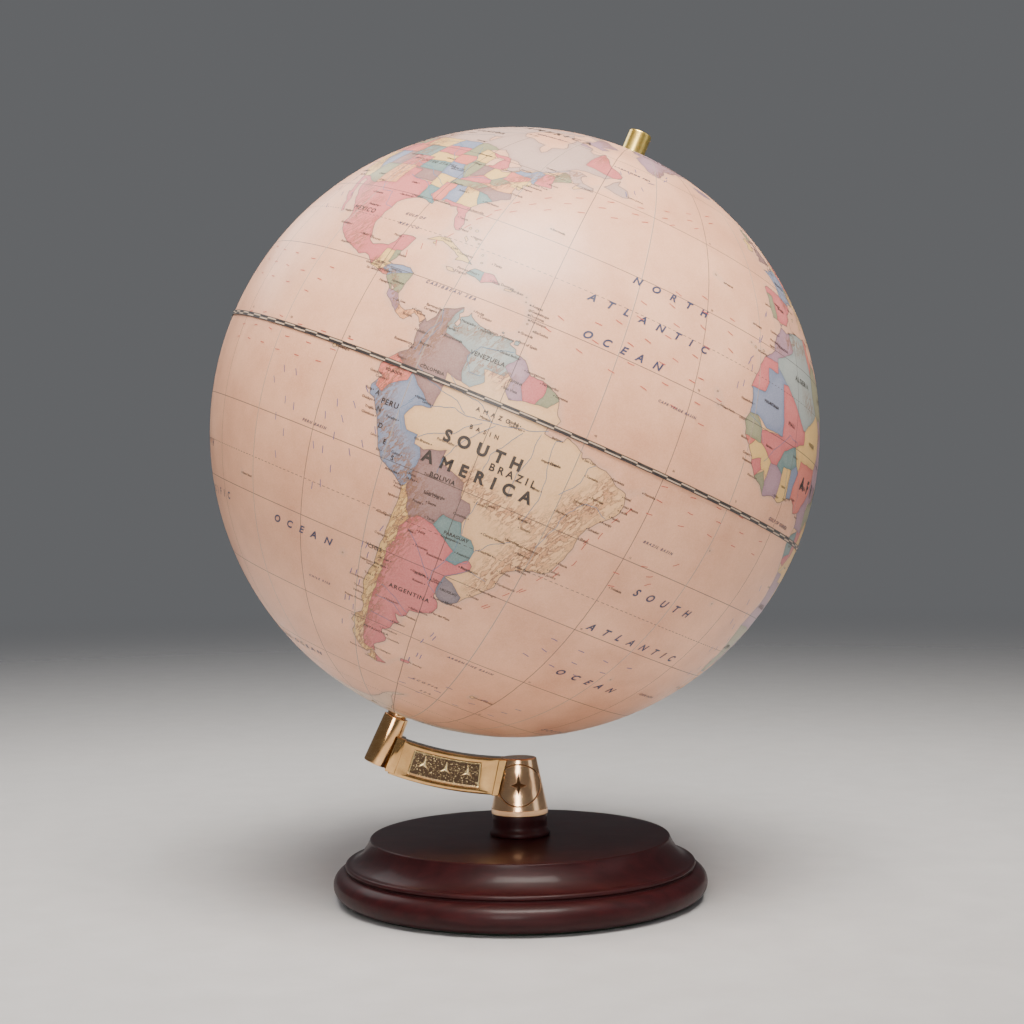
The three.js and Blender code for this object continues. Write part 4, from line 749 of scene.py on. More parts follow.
# Mountain ranges as lines, each with its half width in degrees first.
RANGES = """
andes_north 2 0 -74.5 10 -73.5 7.5 -75 5 -76.5 2 -78.3 -1 -78.8 -4 -77.8 -8 -76 -11
andes_middle 2.6 0 -75 -12 -72 -14.5 -69 -17 -67.5 -20.5 -67.8 -24 -69 -28
andes_south 1.8 0 -69.6 -30 -70 -34 -71 -38 -71.8 -43 -73 -48 -72.5 -51.5 -69 -54.5
venezuela 0.8 0 -72 8.5 -70 9.8 -66 10.1 -63.5 10.2
guiana 1.6 0 -66.5 4.5 -63 4.8 -60.5 4.2
borborema 1.8 0 -39.5 -5.5 -37 -7.5 -38.5 -9.5
serra_dos_parecis 2 0 -60 -13 -56 -14.5 -53 -16.5 -49 -15.5
espinhaco 3.2 0 -41.5 -10.5 -42.5 -14 -43.6 -18 -44.5 -21 -47 -23.4 -49.8 -26.5
sierra_geral 1.1 0 -51 -27.8 -52.5 -30.5
rockies 2.6 0 -150 66.5 -136 64.5 -127 58 -120 53 -114 48 -110 43.5 -106.5 39.5 -105.5 34.5
coast_range 1.6 0 -151 62.5 -140 60.5 -129 54.5 -122.5 49.5 -121.5 44 -120 39 -117.5 35.2
sierra_madre 1.5 0 -110 31 -107 27 -104.5 23 -102 19.8 -97.5 17.2
sierra_oriental 1 0 -101 26.5 -99 22.5 -97.5 19
central 0.9 0 -92 15.6 -89 14.7 -86 13.6 -84 10 -81 8.6
appalachians 1.2 0 -85 34.8 -81 37 -78 40 -74 43 -70 45.5 -66 48.5
labrador 1 0 -64 55 -64 58.5
baffin 1.2 0 -66 66 -74 70.5 -80 72.5
greenland 1.6 0 -43 61.5 -33 68.8 -26 72 -30 80
scandinavia 1.3 0 7.5 60.5 12.5 63.5 17 67.5
alps 1.2 0 6.5 44.8 10.5 46.5 14.5 47
pyrenees 0.7 0 -1 42.9 2 42.5
carpathians 0.9 0 19.5 49.2 24 48 25.5 45.6
caucasus 0.9 0 39 43.9 46 41.9
urals 0.9 0 58 52 59.5 58 60 64 66 68
atlas 1.3 0 -8 31 -4 33 1 34.6 7 35.3
hoggar 1.5 0 5 23.5 8.5 24
tibesti 1.2 0 17 20.5 19 21.5
ethiopia 2.2 0 38.5 14 37.8 10 39.5 7
rift 1.3 0 36.5 1 35.5 -4 35 -8 35.5 -14
drakensberg 1.1 0 30.5 -24.5 29.3 -29 26.5 -31.5
madagascar 0.9 0 48.5 -15 47 -19 46.7 -23
turkey 1.2 0 31 37.2 37 38 42 39.3
zagros 1.4 0 45.5 36 49 33 53 29.5
elburz 0.9 0 49 37 54 36.4
hindu_kush 1.6 0 67 34.5 71.5 36.3 75 37.6
himalaya 2 0 74 35.5 79 31.5 86 28.3 93 28.3 98 28
kunlun 2.2 0 76 37 84 36 92 35.6 100 36.5
tien_shan 1.6 0 71 41 78 41.8 86 43.4
altai 1.6 0 85 49.5 91 48.4 97 46.5
sayan 1.4 0 92 53 99 52 104 51
verkhoyansk 1.5 0 128 69.5 131 65 138 63
stanovoy 1.2 0 120 56 130 55.6
kamchatka 0.9 0 157 53.5 160.5 57
japan 0.7 0 136.5 35.8 139.8 38
new_guinea 1.2 0 134 -3.8 138.5 -4.4 144 -6 147.5 -9
dividing 1.1 0 145.3 -18 148.5 -24 151.5 -29 148.5 -36
southern_alps 0.6 0 168.5 -44.6 171.8 -42.8
"""

# Ocean currents, each of them warm or cold.
CURRENTS = """
warm -80 25.5 -77 31.5 -70 37 -60 41 -48 44 -36 49 -24 53
warm -34.5 -8.5 -37 -15 -39.5 -22 -45 -28.5 -50 -34.5
warm -26 20 -38 22 -50 24
warm -20 27 -30 29.5 -40 31
warm -20 -14 -26 -17.5 -33 -18
warm -24 13 -36 14 -48 15.5 -58 17.5
warm 2 -2.5 -12 -3 -24 -3.5 -33 -4.5
warm -84 18.5 -86 22.5 -84 24.5
warm -88 -1.5 -100 -2 -112 -1.5 -124 -2
warm -100 9 -114 10 -128 11 -142 11.5
warm 33.5 -27 30 -32 24 -36 18.5 -38
warm 124 20 128 27 136 31.5 146 35.5 158 37.5
warm 154.5 -24 155 -31 151 -37
warm 62 -3 54 -7 48 -9.5
cold -58 -53 -57 -47 -55.5 -41
cold -77 -47 -76 -40 -74.5 -32 -72.8 -25
cold -35 -36 -24 -36.5 -12 -36
cold -86 -24 -87 -16 -89 -9
cold -96 -20 -98 -12 -101 -6
cold -78 -16 -82 -10 -86 -5.5
cold -126 44 -122.5 36 -118 28.5 -113 23
cold 13.5 -30 10 -23 7.5 -16 4 -9
cold -12 37 -14.5 31 -19 24 -20 17
cold -57 59.5 -53.5 54 -50 47.5
cold -38 64 -42 59 -50 57.5
cold 163 56 157 49.5 150 44
cold 110 -33 108.5 -26 106 -20
cold -60 -59 -45 -57 -30 -56 -15 -55
cold 20 -47 40 -46 60 -46 80 -45.5
cold 150 -52 170 -53 190 -54 210 -54.5
"""

# Names, each with its longitude, latitude, letter height in millimetres and letter spacing.
SEA_NAMES = """
NORTH, -38.4 29.3 3.7 3; ATLANTIC, -41.2 22.8 3.7 3; OCEAN, -44.6 16.3 3.7 3; SOUTH, -17 -19.4 3.7 3
ATLANTIC, -15.4 -28.3 3.7 3; OCEAN, -17 -39.4 3.7 3; SOUTH, -135 -24 3.7 3; PACIFIC, -128 -32.6 3.7 3
OCEAN, -90 -32.6 3.7 2.8; NORTH, -150 34 3.7 3; PACIFIC, -150 27 3.7 3; OCEAN, -150 20 3.7 3
INDIAN, 78 -18 4 3; OCEAN, 80 -28 4 3; PACIFIC OCEAN, 163 15 3.4 2.2; SOUTHERN OCEAN, 20 -57 3 2
SOUTHERN OCEAN, -120 -62 3 2; ARCTIC OCEAN, -150 78 2.2 1.6; ARCTIC OCEAN, 60 80.5 2 1.6
CARIBBEAN SEA, -75.5 14.6 1.5 1.8; GULF OF, -90.6 25.6 1.5 1.5; MEXICO, -90.4 23.4 1.5 1.8
SCOTIA, -51.8 -55.9 1.5 2; SEA, -50.2 -59 1.5 2; ARGENTINE BASIN, -44 -46 1.3 1.6
BRAZIL BASIN, -25 -11 1.3 1.6; LABRADOR SEA, -53.5 56.5 1.5 1.3; CHILE RISE, -85 -41 1.2 1.6
HUDSON BAY, -86 60 1.6 1.3; BAY OF BENGAL, 88.5 14 1.7 1.3; ARABIAN SEA, 64.5 15 1.9 1.5
GULF OF GUINEA, 1.5 1.6 1.7 1.3; MEDITERRANEAN SEA, 18 34.2 1.3 1.2; PERU BASIN, -90 -14 1.3 1.6
TASMAN SEA, 160 -38 2 1.5; CORAL SEA, 155 -15 2 1.5; BERING SEA, 178 58 2 1.5
SOUTH CHINA SEA, 113.5 14 1.4 1.2; CAPE BASIN, 6 -38 1.5 1.6; CAPE VERDE BASIN, -32 11 1.2 1.5
NORWEGIAN SEA, 3 67 1.6 1.2; PHILIPPINE SEA, 133 19 1.6 1.3
"""

CONTINENT_NAMES = """
SOUTH, -59.6 -7.6 5.2 1.85; AMERICA, -58.9 -11.9 5.2 1.95; NORTH AMERICA, -104 63.5 4.4 1.75
AFRICA, 17 10.2 6 2.4; EUROPE, 24 53 4 2; ASIA, 90 46.4 6 2.8; AUSTRALIA, 134 -25.5 4.4 1.6
ANTARCTICA, 20 -79 4 1.8; ANTARCTICA, 140 -76 4 1.8; GREENLAND, -42 72 2.4 1.4
"""

COUNTRY_NAMES = """
BRAZIL, -53.6 -9.6 3.3 1.6; PERU, -76.9 -6.3 2.5 1.15; ARGENTINA, -63.3 -35.8 2.2 1.2
A, -79.6 -5.4 2.2 1; N, -78.4 -7.8 2.2 1; D, -77.2 -10.2 2.2 1; E, -75.6 -12.4 2.2 1
S, -73.4 -14.4 2.2 1; COLOMBIA, -72.3 1.2 1.5 1.15; VENEZUELA, -64.6 6.2 2 1.1
BOLIVIA, -64.1 -14.4 2.1 1.15; CHILE, -72.2 -30.2 1.9 1; PARAGUAY, -58.4 -22.6 1.6 1
URUGUAY, -55.9 -32.6 1.3 .95; ECUADOR, -78.3 -1.3 1.3 .95; GUYANA, -58.9 4.3 1.1 .9
AMAZON, -59.5 -1.9 1.9 2.2; BASIN, -60.5 -4.9 1.9 2.2; PATAGONIA, -69 -46.8 1.5 1.1
UNITED STATES, -99 39.4 1.9 1.3; CANADA, -106 55.5 2.6 1.6; MEXICO, -103.5 24.4 2.6 1.3
CUBA, -78.9 21.9 1 1; GUATEMALA, -90.3 15.3 .9 .9; HONDURAS, -86.6 14.7 .9 .9; NICARAGUA, -85 12.8 .9 .9
PANAMA, -80.3 8.1 .9 .95; ALGERIA, 2.5 27.5 2.6 1.4; LIBYA, 17.5 27 2.4 1.4; EGYPT, 29.5 26.5 2.2 1.3
MALI, -2.5 18.5 2 1.3; NIGER, 9.5 17.5 2 1.3; CHAD, 18.5 15 1.8 1.3; SUDAN, 30 15.5 2.4 1.4
MAURITANIA, -10.5 19.8 1.5 1; MOROCCO, -6.3 31.3 1.3 1; NIGERIA, 7.8 9.6 1.8 1.1
ETHIOPIA, 39.6 8.2 2 1.1; KENYA, 37.8 .4 1.8 1.1; CONGO, 23.5 -3.5 2.6 1.3; ANGOLA, 17.6 -12.6 2.4 1.3
ZAMBIA, 27.2 -14.2 1.7 1.1; TANZANIA, 34.8 -6.2 1.8 1; NAMIBIA, 16.8 -22 1.8 1
BOTSWANA, 23.6 -22.2 1.5 1; SOUTH AFRICA, 23.8 -30.8 1.7 1; MOZAMBIQUE, 36.9 -15.2 1.1 .9
SOMALIA, 45.5 5 1.5 1; MADAGASCAR, 46.8 -19.4 1.1 .9; GHANA, -1.3 7.6 1 .9; GABON, 11.8 -.8 1 .9
SPAIN, -3.8 39.8 1.7 1.1; FRANCE, 2.4 46.6 1.9 1.1; GERMANY, 10.5 51.2 1.3 .9; ITALY, 12.8 43 1 .9
POLAND, 19.4 52 1.3 1; UKRAINE, 31.5 49 1.6 1; SWEDEN, 15.5 62.6 1.4 .9; NORWAY, 8.8 61.4 1.2 .9
FINLAND, 26.3 63.6 1.3 .9; TURKEY, 34.5 39.2 1.8 1.1; IRAN, 54.5 32.6 2.4 1.3; IRAQ, 43.6 32.8 1.4 1
SAUDI ARABIA, 45 24 2 1.1; RUSSIA, 100 62 4.4 3; KAZAKHSTAN, 67 48.6 2.4 1.4; CHINA, 105 33.5 4 2
MONGOLIA, 103.5 46.8 2 1.4; INDIA, 79 21.6 3 1.5; PAKISTAN, 69 28.8 1.4 1; THAILAND, 101 16 1.1 .9
JAPAN, 139 36.6 1 .9; INDONESIA, 113.5 -1 2 1.6; ICELAND, -18.6 65 1.2 1; NEW ZEALAND, 171.5 -43.6 1 .9
ALASKA, -153 65 2.2 1.3
"""

# Towns, each with its longitude and latitude.
TOWNS = """
Barbados -59.6 13.1, Grenada -61.7 12.1, Martinique -61 14.6, Dominica -61.4 15.4, Guadeloupe -61.5 16.2
Antigua -61.8 17.1, Port of Spain -61.4 10.6, Aruba -70 12.6, Curacao -69 12.1, Barranquilla -74.8 10.9
Cumana -64.2 10.4, Valencia -68 10.1, Merida -71.1 8.5, Bucaramanga -73.1 7.1, Buenaventura -77 3.9
Pasto -77.3 1.2, Leticia -69.9 -4.1, Cuenca -79 -2.9, Piura -80.6 -5.2, Chiclayo -79.8 -6.8
Pucallpa -74.5 -8.4, Chimbote -78.6 -9.1, Ica -75.7 -14, Puno -70.1 -15.8, Tacna -70.2 -18
Iquique -70.1 -20.2, Copiapo -70.3 -27.4, La Serena -71.2 -29.9, Valparaiso -71.6 -33, Talca -71.6 -35.4
Temuco -72.6 -38.7, Puerto Montt -72.9 -41.4, Coihaique -72.1 -45.5, Punta Arenas -70.9 -53.2
Santa Fe -60.7 -31.6, Parana -60.5 -31.8, San Juan -68.5 -31.5, Neuquen -68.1 -38.9, Viedma -63 -40.8
Rawson -65.2 -43.2, Deseado -66 -47.7, Jujuy -65.3 -24.2, Resistencia -59 -27.4, Posadas -55.9 -27.4
Salto -57.9 -31.4, Pelotas -52.4 -31.7, Santos -46.4 -24, Florianopolis -48.6 -27.6
Londrina -51.2 -23.3, Campo Grande -54.6 -20.4, Corumba -57.6 -19, Ribeirao -47.8 -21.2
Uberaba -48 -19.7, Campos -41.3 -21.8, Ilheus -39.1 -14.8, Aracaju -37.1 -10.9, Joao Pessoa -34.9 -7.1
Teresina -42.8 -5.1, Juazeiro -40.5 -9.4, Petrolina -40.5 -8, Imperatriz -47.5 -5.5, Maraba -49.1 -5.4
Santarem -54.7 -2.4, Macapa -51.1 0, Obidos -55.5 -1.9, Boa Vista -60.7 2.8, Rio Branco -67.8 -10
Caceres -57.7 -16, Trinidad -64.9 -14.8, Cochabamba -66.2 -17.4, Potosi -65.8 -19.6, Tarija -64.7 -21.5
Concepcion -57.4 -23.4, Encarnacion -55.9 -27.3, Palmas -48.3 -10.2, Barreiras -45 -12.1
Belize -88.2 17.5, San Salvador -89.2 13.7, Colon -80 9.4, Camaguey -77.9 21.4, Nassau -77.4 25.1
Turks -71.1 21.5, Bermuda -64.8 32.3, Stanley -57.9 -51.7, South Georgia -36.6 -54.3
Trindade -29.3 -20.5, Noronha -32.4 -3.9, Galapagos -90.5 -.6, Easter Island -109.3 -27.1
Madeira -17 32.7, Azores -25.6 37.8, Canaries -15.6 28, Cape Verde -23.6 15, Bissau -15.6 11.9
Conakry -13.6 9.6, Agadir -9.6 30.4, Oran -.6 35.6, Lome 1.3 6.2, Niamey 2.1 13.5, Libreville 9.5 .4
Caracas -66.9 10.4, Maracaibo -71.5 10.4, Bogota -74.1 4.6, Medellin -75.6 6.3, Cali -76.5 3.4
Quito -78.5 -.2, Guayaquil -79.8 -2.3, Lima -77 -12, Trujillo -79 -8.1, Iquitos -73.2 -3.7
Cuzco -72 -13.5, Arequipa -71.5 -16.4, La Paz -68.1 -16.5, Sucre -65.3 -19, Santa Cruz -63.2 -17.7
Asuncion -57.6 -25.2, Manaus -60 -2.9, Belem -48.4 -1.6, Sao Luis -44.2 -2.8, Fortaleza -38.6 -3.9
Natal -35.4 -5.8, Recife -35.1 -8.1, Maceio -36 -9.6, Salvador -38.7 -12.8, Porto Velho -63.9 -8.7
Cuiaba -56.1 -15.6, Brasilia -47.9 -15.7, Goiania -49.3 -17, Belo Horizonte -43.9 -19.9
Vitoria -40.5 -20.1, Rio de Janeiro -43.3 -22.7, Sao Paulo -46.7 -23.4, Curitiba -49.3 -25.4
Porto Alegre -51.3 -30, Montevideo -56.1 -34.7, Buenos Aires -58.7 -34.8, Rosario -60.8 -33
Cordoba -64.2 -31.4, Mendoza -68.8 -32.9, Tucuman -65.2 -26.8, Salta -65.5 -24.8
Bahia Blanca -62.4 -38.7, Mar del Plata -57.9 -37.9, Trelew -65.7 -43.2, Comodoro -67.9 -45.7
Rio Gallegos -69.5 -51.5, Ushuaia -68.2 -54.7, Santiago -70.7 -33.5, Valdivia -73 -39.8
Concepcion -72.8 -36.8, Antofagasta -70.2 -23.7, Arica -70.1 -18.6, Georgetown -58.3 6.6
Paramaribo -55.2 5.7, Cayenne -52.5 4.7, Ciudad Bolivar -63.6 8, Cartagena -75.4 10.2, Panama -79.5 9
San Jose -84.1 9.9, Managua -86.2 12.2, Tegucigalpa -87.2 14.1, Guatemala -90.5 14.6, Merida -89.6 20.9
Mexico City -99.1 19.4, Veracruz -96.3 19.1, Acapulco -99.8 17, Guadalajara -103.3 20.7
Mazatlan -106.2 23.3, Monterrey -100.3 25.7, Chihuahua -106.1 28.6, Havana -82.3 22.9
Kingston -76.9 18.1, Port-au-Prince -72.3 18.8, Santo Domingo -69.9 18.6, San Juan -66.1 18.3
Miami -80.5 25.8, Tampa -82.3 28, Jacksonville -81.8 30.3, Atlanta -84.4 33.8, Charleston -80.2 32.9
New Orleans -90.1 30, Houston -95.4 29.8, Dallas -96.8 32.8, San Antonio -98.5 29.4, El Paso -106.4 31.8
Phoenix -112 33.5, San Diego -116.9 32.9, Los Angeles -118.1 34.1, San Francisco -122.1 37.7
Salt Lake City -111.9 40.8, Denver -105 39.7, Portland -122.6 45.5, Seattle -122.1 47.5
Vancouver -122.7 49.4, Calgary -114.1 51, Edmonton -113.5 53.5, Winnipeg -97.1 49.9
Minneapolis -93.3 45, Omaha -96 41.3, Kansas City -94.6 39.1, Saint Louis -90.2 38.6, Memphis -90 35.1
Chicago -87.8 41.8, Detroit -83.2 42.3, Toronto -79.6 43.8, Montreal -73.7 45.5, Quebec -71.3 46.8
Boston -71.2 42.3, New York -74.1 40.8, Philadelphia -75.3 40, Washington -77 38.9, Norfolk -76.5 36.8
Halifax -63.7 44.7, Saint Johns -53 47.5, Churchill -94.3 58.5, Fairbanks -147.8 64.8
Anchorage -149.7 61.3, Dakar -17.1 14.8, Nouakchott -15.8 18.1, Freetown -13 8.5, Monrovia -10.6 6.5
Abidjan -4.1 5.5, Accra -.2 5.8, Lagos 3.5 6.6, Bamako -8 12.6, Casablanca -7.4 33.4, Marrakesh -8 31.6
Algiers 3.1 36.6, Tunis 10 36.6, Tripoli 13.2 32.6, Benghazi 20.3 32, Cairo 31.3 30.1, Aswan 32.9 24.1
Khartoum 32.5 15.6, Addis Ababa 38.7 9, Mogadishu 45.2 2.2, Nairobi 36.8 -1.3, Mombasa 39.5 -3.8
Dar es Salaam 39 -6.8, Kinshasa 15.4 -4.4, Luanda 13.5 -8.9, Douala 9.8 4.2, Kampala 32.6 .4
Lusaka 28.3 -15.4, Harare 31 -17.8, Beira 34.6 -19.7, Windhoek 17.1 -22.5, Johannesburg 28 -26.2
Durban 30.8 -29.8, Cape Town 18.6 -33.8, Antananarivo 47.5 -18.9, Lisbon -9 38.8, Madrid -3.7 40.4
Barcelona 2 41.5, Paris 2.3 48.9, London -.2 51.5, Dublin -6.4 53.3, Edinburgh -3.3 55.8
Berlin 13.4 52.5, Rome 12.6 41.9, Vienna 16.3 48.2, Athens 23.7 38.1, Warsaw 21 52.2, Moscow 37.6 55.7
Kiev 30.5 50.4, Oslo 10.8 60, Stockholm 17.8 59.5, Helsinki 25 60.4, Istanbul 28.5 41.3
Ankara 32.9 39.9, Baghdad 44.4 33.3, Tehran 51.4 35.7, Riyadh 46.7 24.7, Mecca 40 21.4, Aden 45 13.1
Karachi 67.3 25.1, Delhi 77.2 28.6, Bombay 73.1 19, Madras 80 13, Calcutta 88.3 22.6, Colombo 80.2 6.9
Rangoon 96.2 16.9, Bangkok 100.5 13.9, Singapore 103.7 1.7, Saigon 106.7 10.8, Hanoi 105.9 21
Manila 121.1 14.7, Jakarta 106.9 -6.4, Canton 113.3 23.3, Shanghai 121.2 31.2, Peking 116.4 39.9
Lhasa 91.1 29.7, Seoul 127 37.5, Tokyo 139.6 35.8, Osaka 135.6 34.8, Irkutsk 104.3 52.3, Omsk 73.4 55
Yakutsk 129.7 62, Vladivostok 132 43.5, Tashkent 69.2 41.3, Perth 116.2 -32, Darwin 131 -12.8
Alice Springs 133.9 -23.7, Adelaide 138.8 -34.8, Melbourne 145 -37.7, Sydney 150.8 -33.8
Brisbane 152.7 -27.5, Cairns 145.5 -17, Auckland 175 -37, Wellington 175 -41
"""

TINTS = {
    "sand": (0.96, 0.54, 0.24), "rose": (0.68, 0.112, 0.130), "coral": (0.78, 0.15, 0.11),
    "straw": (0.88, 0.54, 0.15), "apricot": (0.88, 0.36, 0.13), "sky": (0.17, 0.24, 0.40),
    "mist": (0.30, 0.38, 0.38), "teal": (0.10, 0.24, 0.25), "moss": (0.26, 0.27, 0.14),
    "lilac": (0.38, 0.20, 0.29), "dusk": (0.28, 0.13, 0.13), "slate": (0.15, 0.12, 0.17),
    "ash": (0.56, 0.36, 0.31), "ice": (0.88, 0.60, 0.42), "water": (0.26, 0.36, 0.44),
    "sea": (0.87, 0.47, 0.28),
}


def listed(table):
    """Named rows of numbers from a table: a word, then its numbers."""
    rows = []
    for word in table.split():
        if word[0].isalpha():
            rows.append((word, []))
        else:
            rows[-1][1].append(float(word))
    return [(name, np.array(numbers).reshape(-1, 2)) for name, numbers in rows]


def shaken(line, closed=True, step=0.5):
    """A line cut into short steps and shaken by one fixed field, so that shared borders still agree."""
    ring = np.vstack([line, line[:1]]) if closed else np.asarray(line)
    steps = []
    for start, end in zip(ring, ring[1:]):
        parts = max(1, int(np.ceil(np.hypot(*(end - start)) / step)))
        steps += [start + (end - start) * i / parts for i in range(parts)]
    if not closed:
        steps.append(ring[-1])
    moved = []
    for lon, lat in steps:
        flat = math.cos(math.radians(lat))
        spot = Vector((flat * math.cos(math.radians(lon)), flat * math.sin(math.radians(lon)),
                       math.sin(math.radians(lat)))) * 57.3
        shift = Vector()
        for wave, reach in ((5, 0.42), (2, 0.22), (0.9, 0.13)):
            shift += noise.noise_vector(spot / wave) * reach
        moved.append((lon + shift.x / max(flat, 0.25), max(-88, min(88, lat + shift.y))))
    return np.array(moved)


def inside(points, ring):
    """Which of the points lie inside the closed outline."""
    x, y = points[:, 0:1], points[:, 1:2]
    x1, y1 = ring[:, 0], ring[:, 1]
    x2, y2 = np.roll(x1, -1), np.roll(y1, -1)
    with np.errstate(divide="ignore", invalid="ignore"):
        crossing = (y1 > y) != (y2 > y)
        left = x < (x2 - x1) * (y - y1) / (y2 - y1) + x1
    return (np.count_nonzero(crossing & left, axis=1) % 2).astype(bool)


def repeated(outlines):
    """Outlines with their copies a full turn east and west, for seams near the date line."""
    return [(name, ring + np.array([turn, 0.0])) for name, ring in outlines for turn in (0, 360, -360)]


def islet_rings():
    numbers = np.array([float(n) for n in ISLETS.split()]).reshape(-1, 3)
    angles = np.radians(np.arange(0, 360, 45))
    return [("islet", np.column_stack([lon + size * np.cos(angles) / math.cos(math.radians(lat)),
                                       lat + size * 0.8 * np.sin(angles)]))
            for lon, lat, size in numbers]


# The field that shakes the lines is seeded, so that every run draws the same coasts.
noise.seed_set(3)
LAND = repeated([(n, shaken(r)) for n, r in listed(COASTS)] + islet_rings())
WATER = repeated([(n, shaken(r)) for n, r in listed(LAKES)])
STATES = repeated([(n, shaken(r)) for n, r in listed(COUNTRIES)])
RELIEF = [(line[0, 0], shaken(line[1:], closed=False, step=1.0)) for _, line in listed(RANGES)]


def tint_of(points):
    """The printed colour at each point, and whether it is land."""
    low, high = points.min(0), points.max(0)

    def near(outlines):
        return [(n, r) for n, r in outlines
                if (r.max(0) >= low).all() and (r.min(0) <= high).all()]

    names = np.full(len(points), "sea", dtype="U8")
    land = np.zeros(len(points), bool)
    for _, ring in near(LAND):
        land |= inside(points, ring)
    names[land] = "sand"
    for name, ring in near(STATES):
        names[land & inside(points, ring)] = name
    names[land & (points[:, 1] < -60)] = "ice"
    for _, ring in near(WATER):
        lake = land & inside(points, ring)
        names[lake] = "water"
        land &= ~lake
    return names, land


def height_of_land(points):
    """How mountainous each point is, from 0 to 1."""
    height = np.zeros(len(points))
    squeeze = np.cos(np.radians(points[:, 1]))
    for width, line in RELIEF:
        for turn in (0, 360, -360):
            away = np.full(len(points), 99.0)
            for lon, lat in line + np.array([turn, 0.0]):
                away = np.minimum(away, np.hypot((points[:, 0] - lon) * squeeze, points[:, 1] - lat))
            height = np.maximum(height, np.clip(1.35 - away / width, 0, 1))
    return height


class Net:
    """Places and links in degrees, to be filled with triangles."""

    def __init__(self, low, high):
        self.low = np.array(low)
        self.high = np.array(high)
        self.spots = []
        self.links = []

    def line(self, points):
        first = len(self.spots)
        self.spots.extend(points)
        self.links.extend((first + i, first + i + 1) for i in range(len(points) - 1))

    def outline(self, ring, wanted=None):
        """Lays the stretches of an outline that touch this net; every other one gets a spot on each side."""
        after = np.roll(ring, -1, axis=0)
        keep = (np.maximum(ring, after) > self.low).all(1) & (np.minimum(ring, after) < self.high).all(1)
        if wanted is not None and keep.any():
            picked = np.flatnonzero(keep)
            keep[picked] = wanted(ring[picked]) | wanted(after[picked])
        for i in np.flatnonzero(keep):
            self.line((ring[i], after[i]))
            along = after[i] - ring[i]
            squeeze = math.cos(math.radians(ring[i][1]))
            length = math.hypot(along[0] * squeeze, along[1])
            if i % 2 == 0 and length > 0.05:
                across = np.array([-along[1] / squeeze, along[0] * squeeze]) / length * 0.45
                middle = (ring[i] + after[i]) / 2
                self.spots.extend((middle + across, middle - across))

    def triangles(self):
        flat = [Vector((float(p[0]), float(p[1]))) for p in self.spots]
        places, _, faces, _, _, _ = geometry.delaunay_2d_cdt(flat, self.links, [], 0, 1e-4)
        return np.array([tuple(p) for p in places]), np.array([f for f in faces])


def tint_borders(places, faces, names, land):
    """Edges whose two sides print differently, each with whether both sides are land."""
    sides = {}
    for index, face in enumerate(faces):
        for a, b in zip(face, np.roll(face, -1)):
            sides.setdefault((min(a, b), max(a, b)), []).append(index)
    return [(places[a], places[b], land[f[0]] and land[f[1]]) for (a, b), f in sides.items()
            if len(f) == 2 and names[f[0]] != names[f[1]]]


def away_from(borders, points):
    """How far each point is from the nearest border."""
    marks = []
    for start, end, _ in borders:
        marks += [start, end, (start + end) / 2]
    tree = kdtree.KDTree(max(1, len(marks)))
    for i, mark in enumerate(on_ball(*np.array(marks).T) if marks else [(0, 0, 9e9)]):
        tree.insert(mark, i)
    tree.balance()
    return np.array([min(FULL_DEPTH, tree.find(p)[2]) for p in points])


def paper_edge(faces, first):
    """The cut edge of a paper: the corners along it, and its faces down to points numbered from first."""
    edges = dict.fromkeys((a, b) for face in faces for a, b in zip(face, np.roll(face, -1)))
    rim = [(a, b) for a, b in edges if (b, a) not in edges]
    corners = sorted({int(corner) for edge in rim for corner in edge})
    under = {corner: first + i for i, corner in enumerate(corners)}
    return corners, [(int(b), int(a), under[a], under[b]) for a, b in rim]


def round_shaded(piece, points, radius):
    """Shades a piece as part of the ball."""
    centre = np.array(CENTRE)
    piece.data.normals_split_custom_set_from_vertices(
        [tuple((np.array(p) - centre) / radius) for p in points])


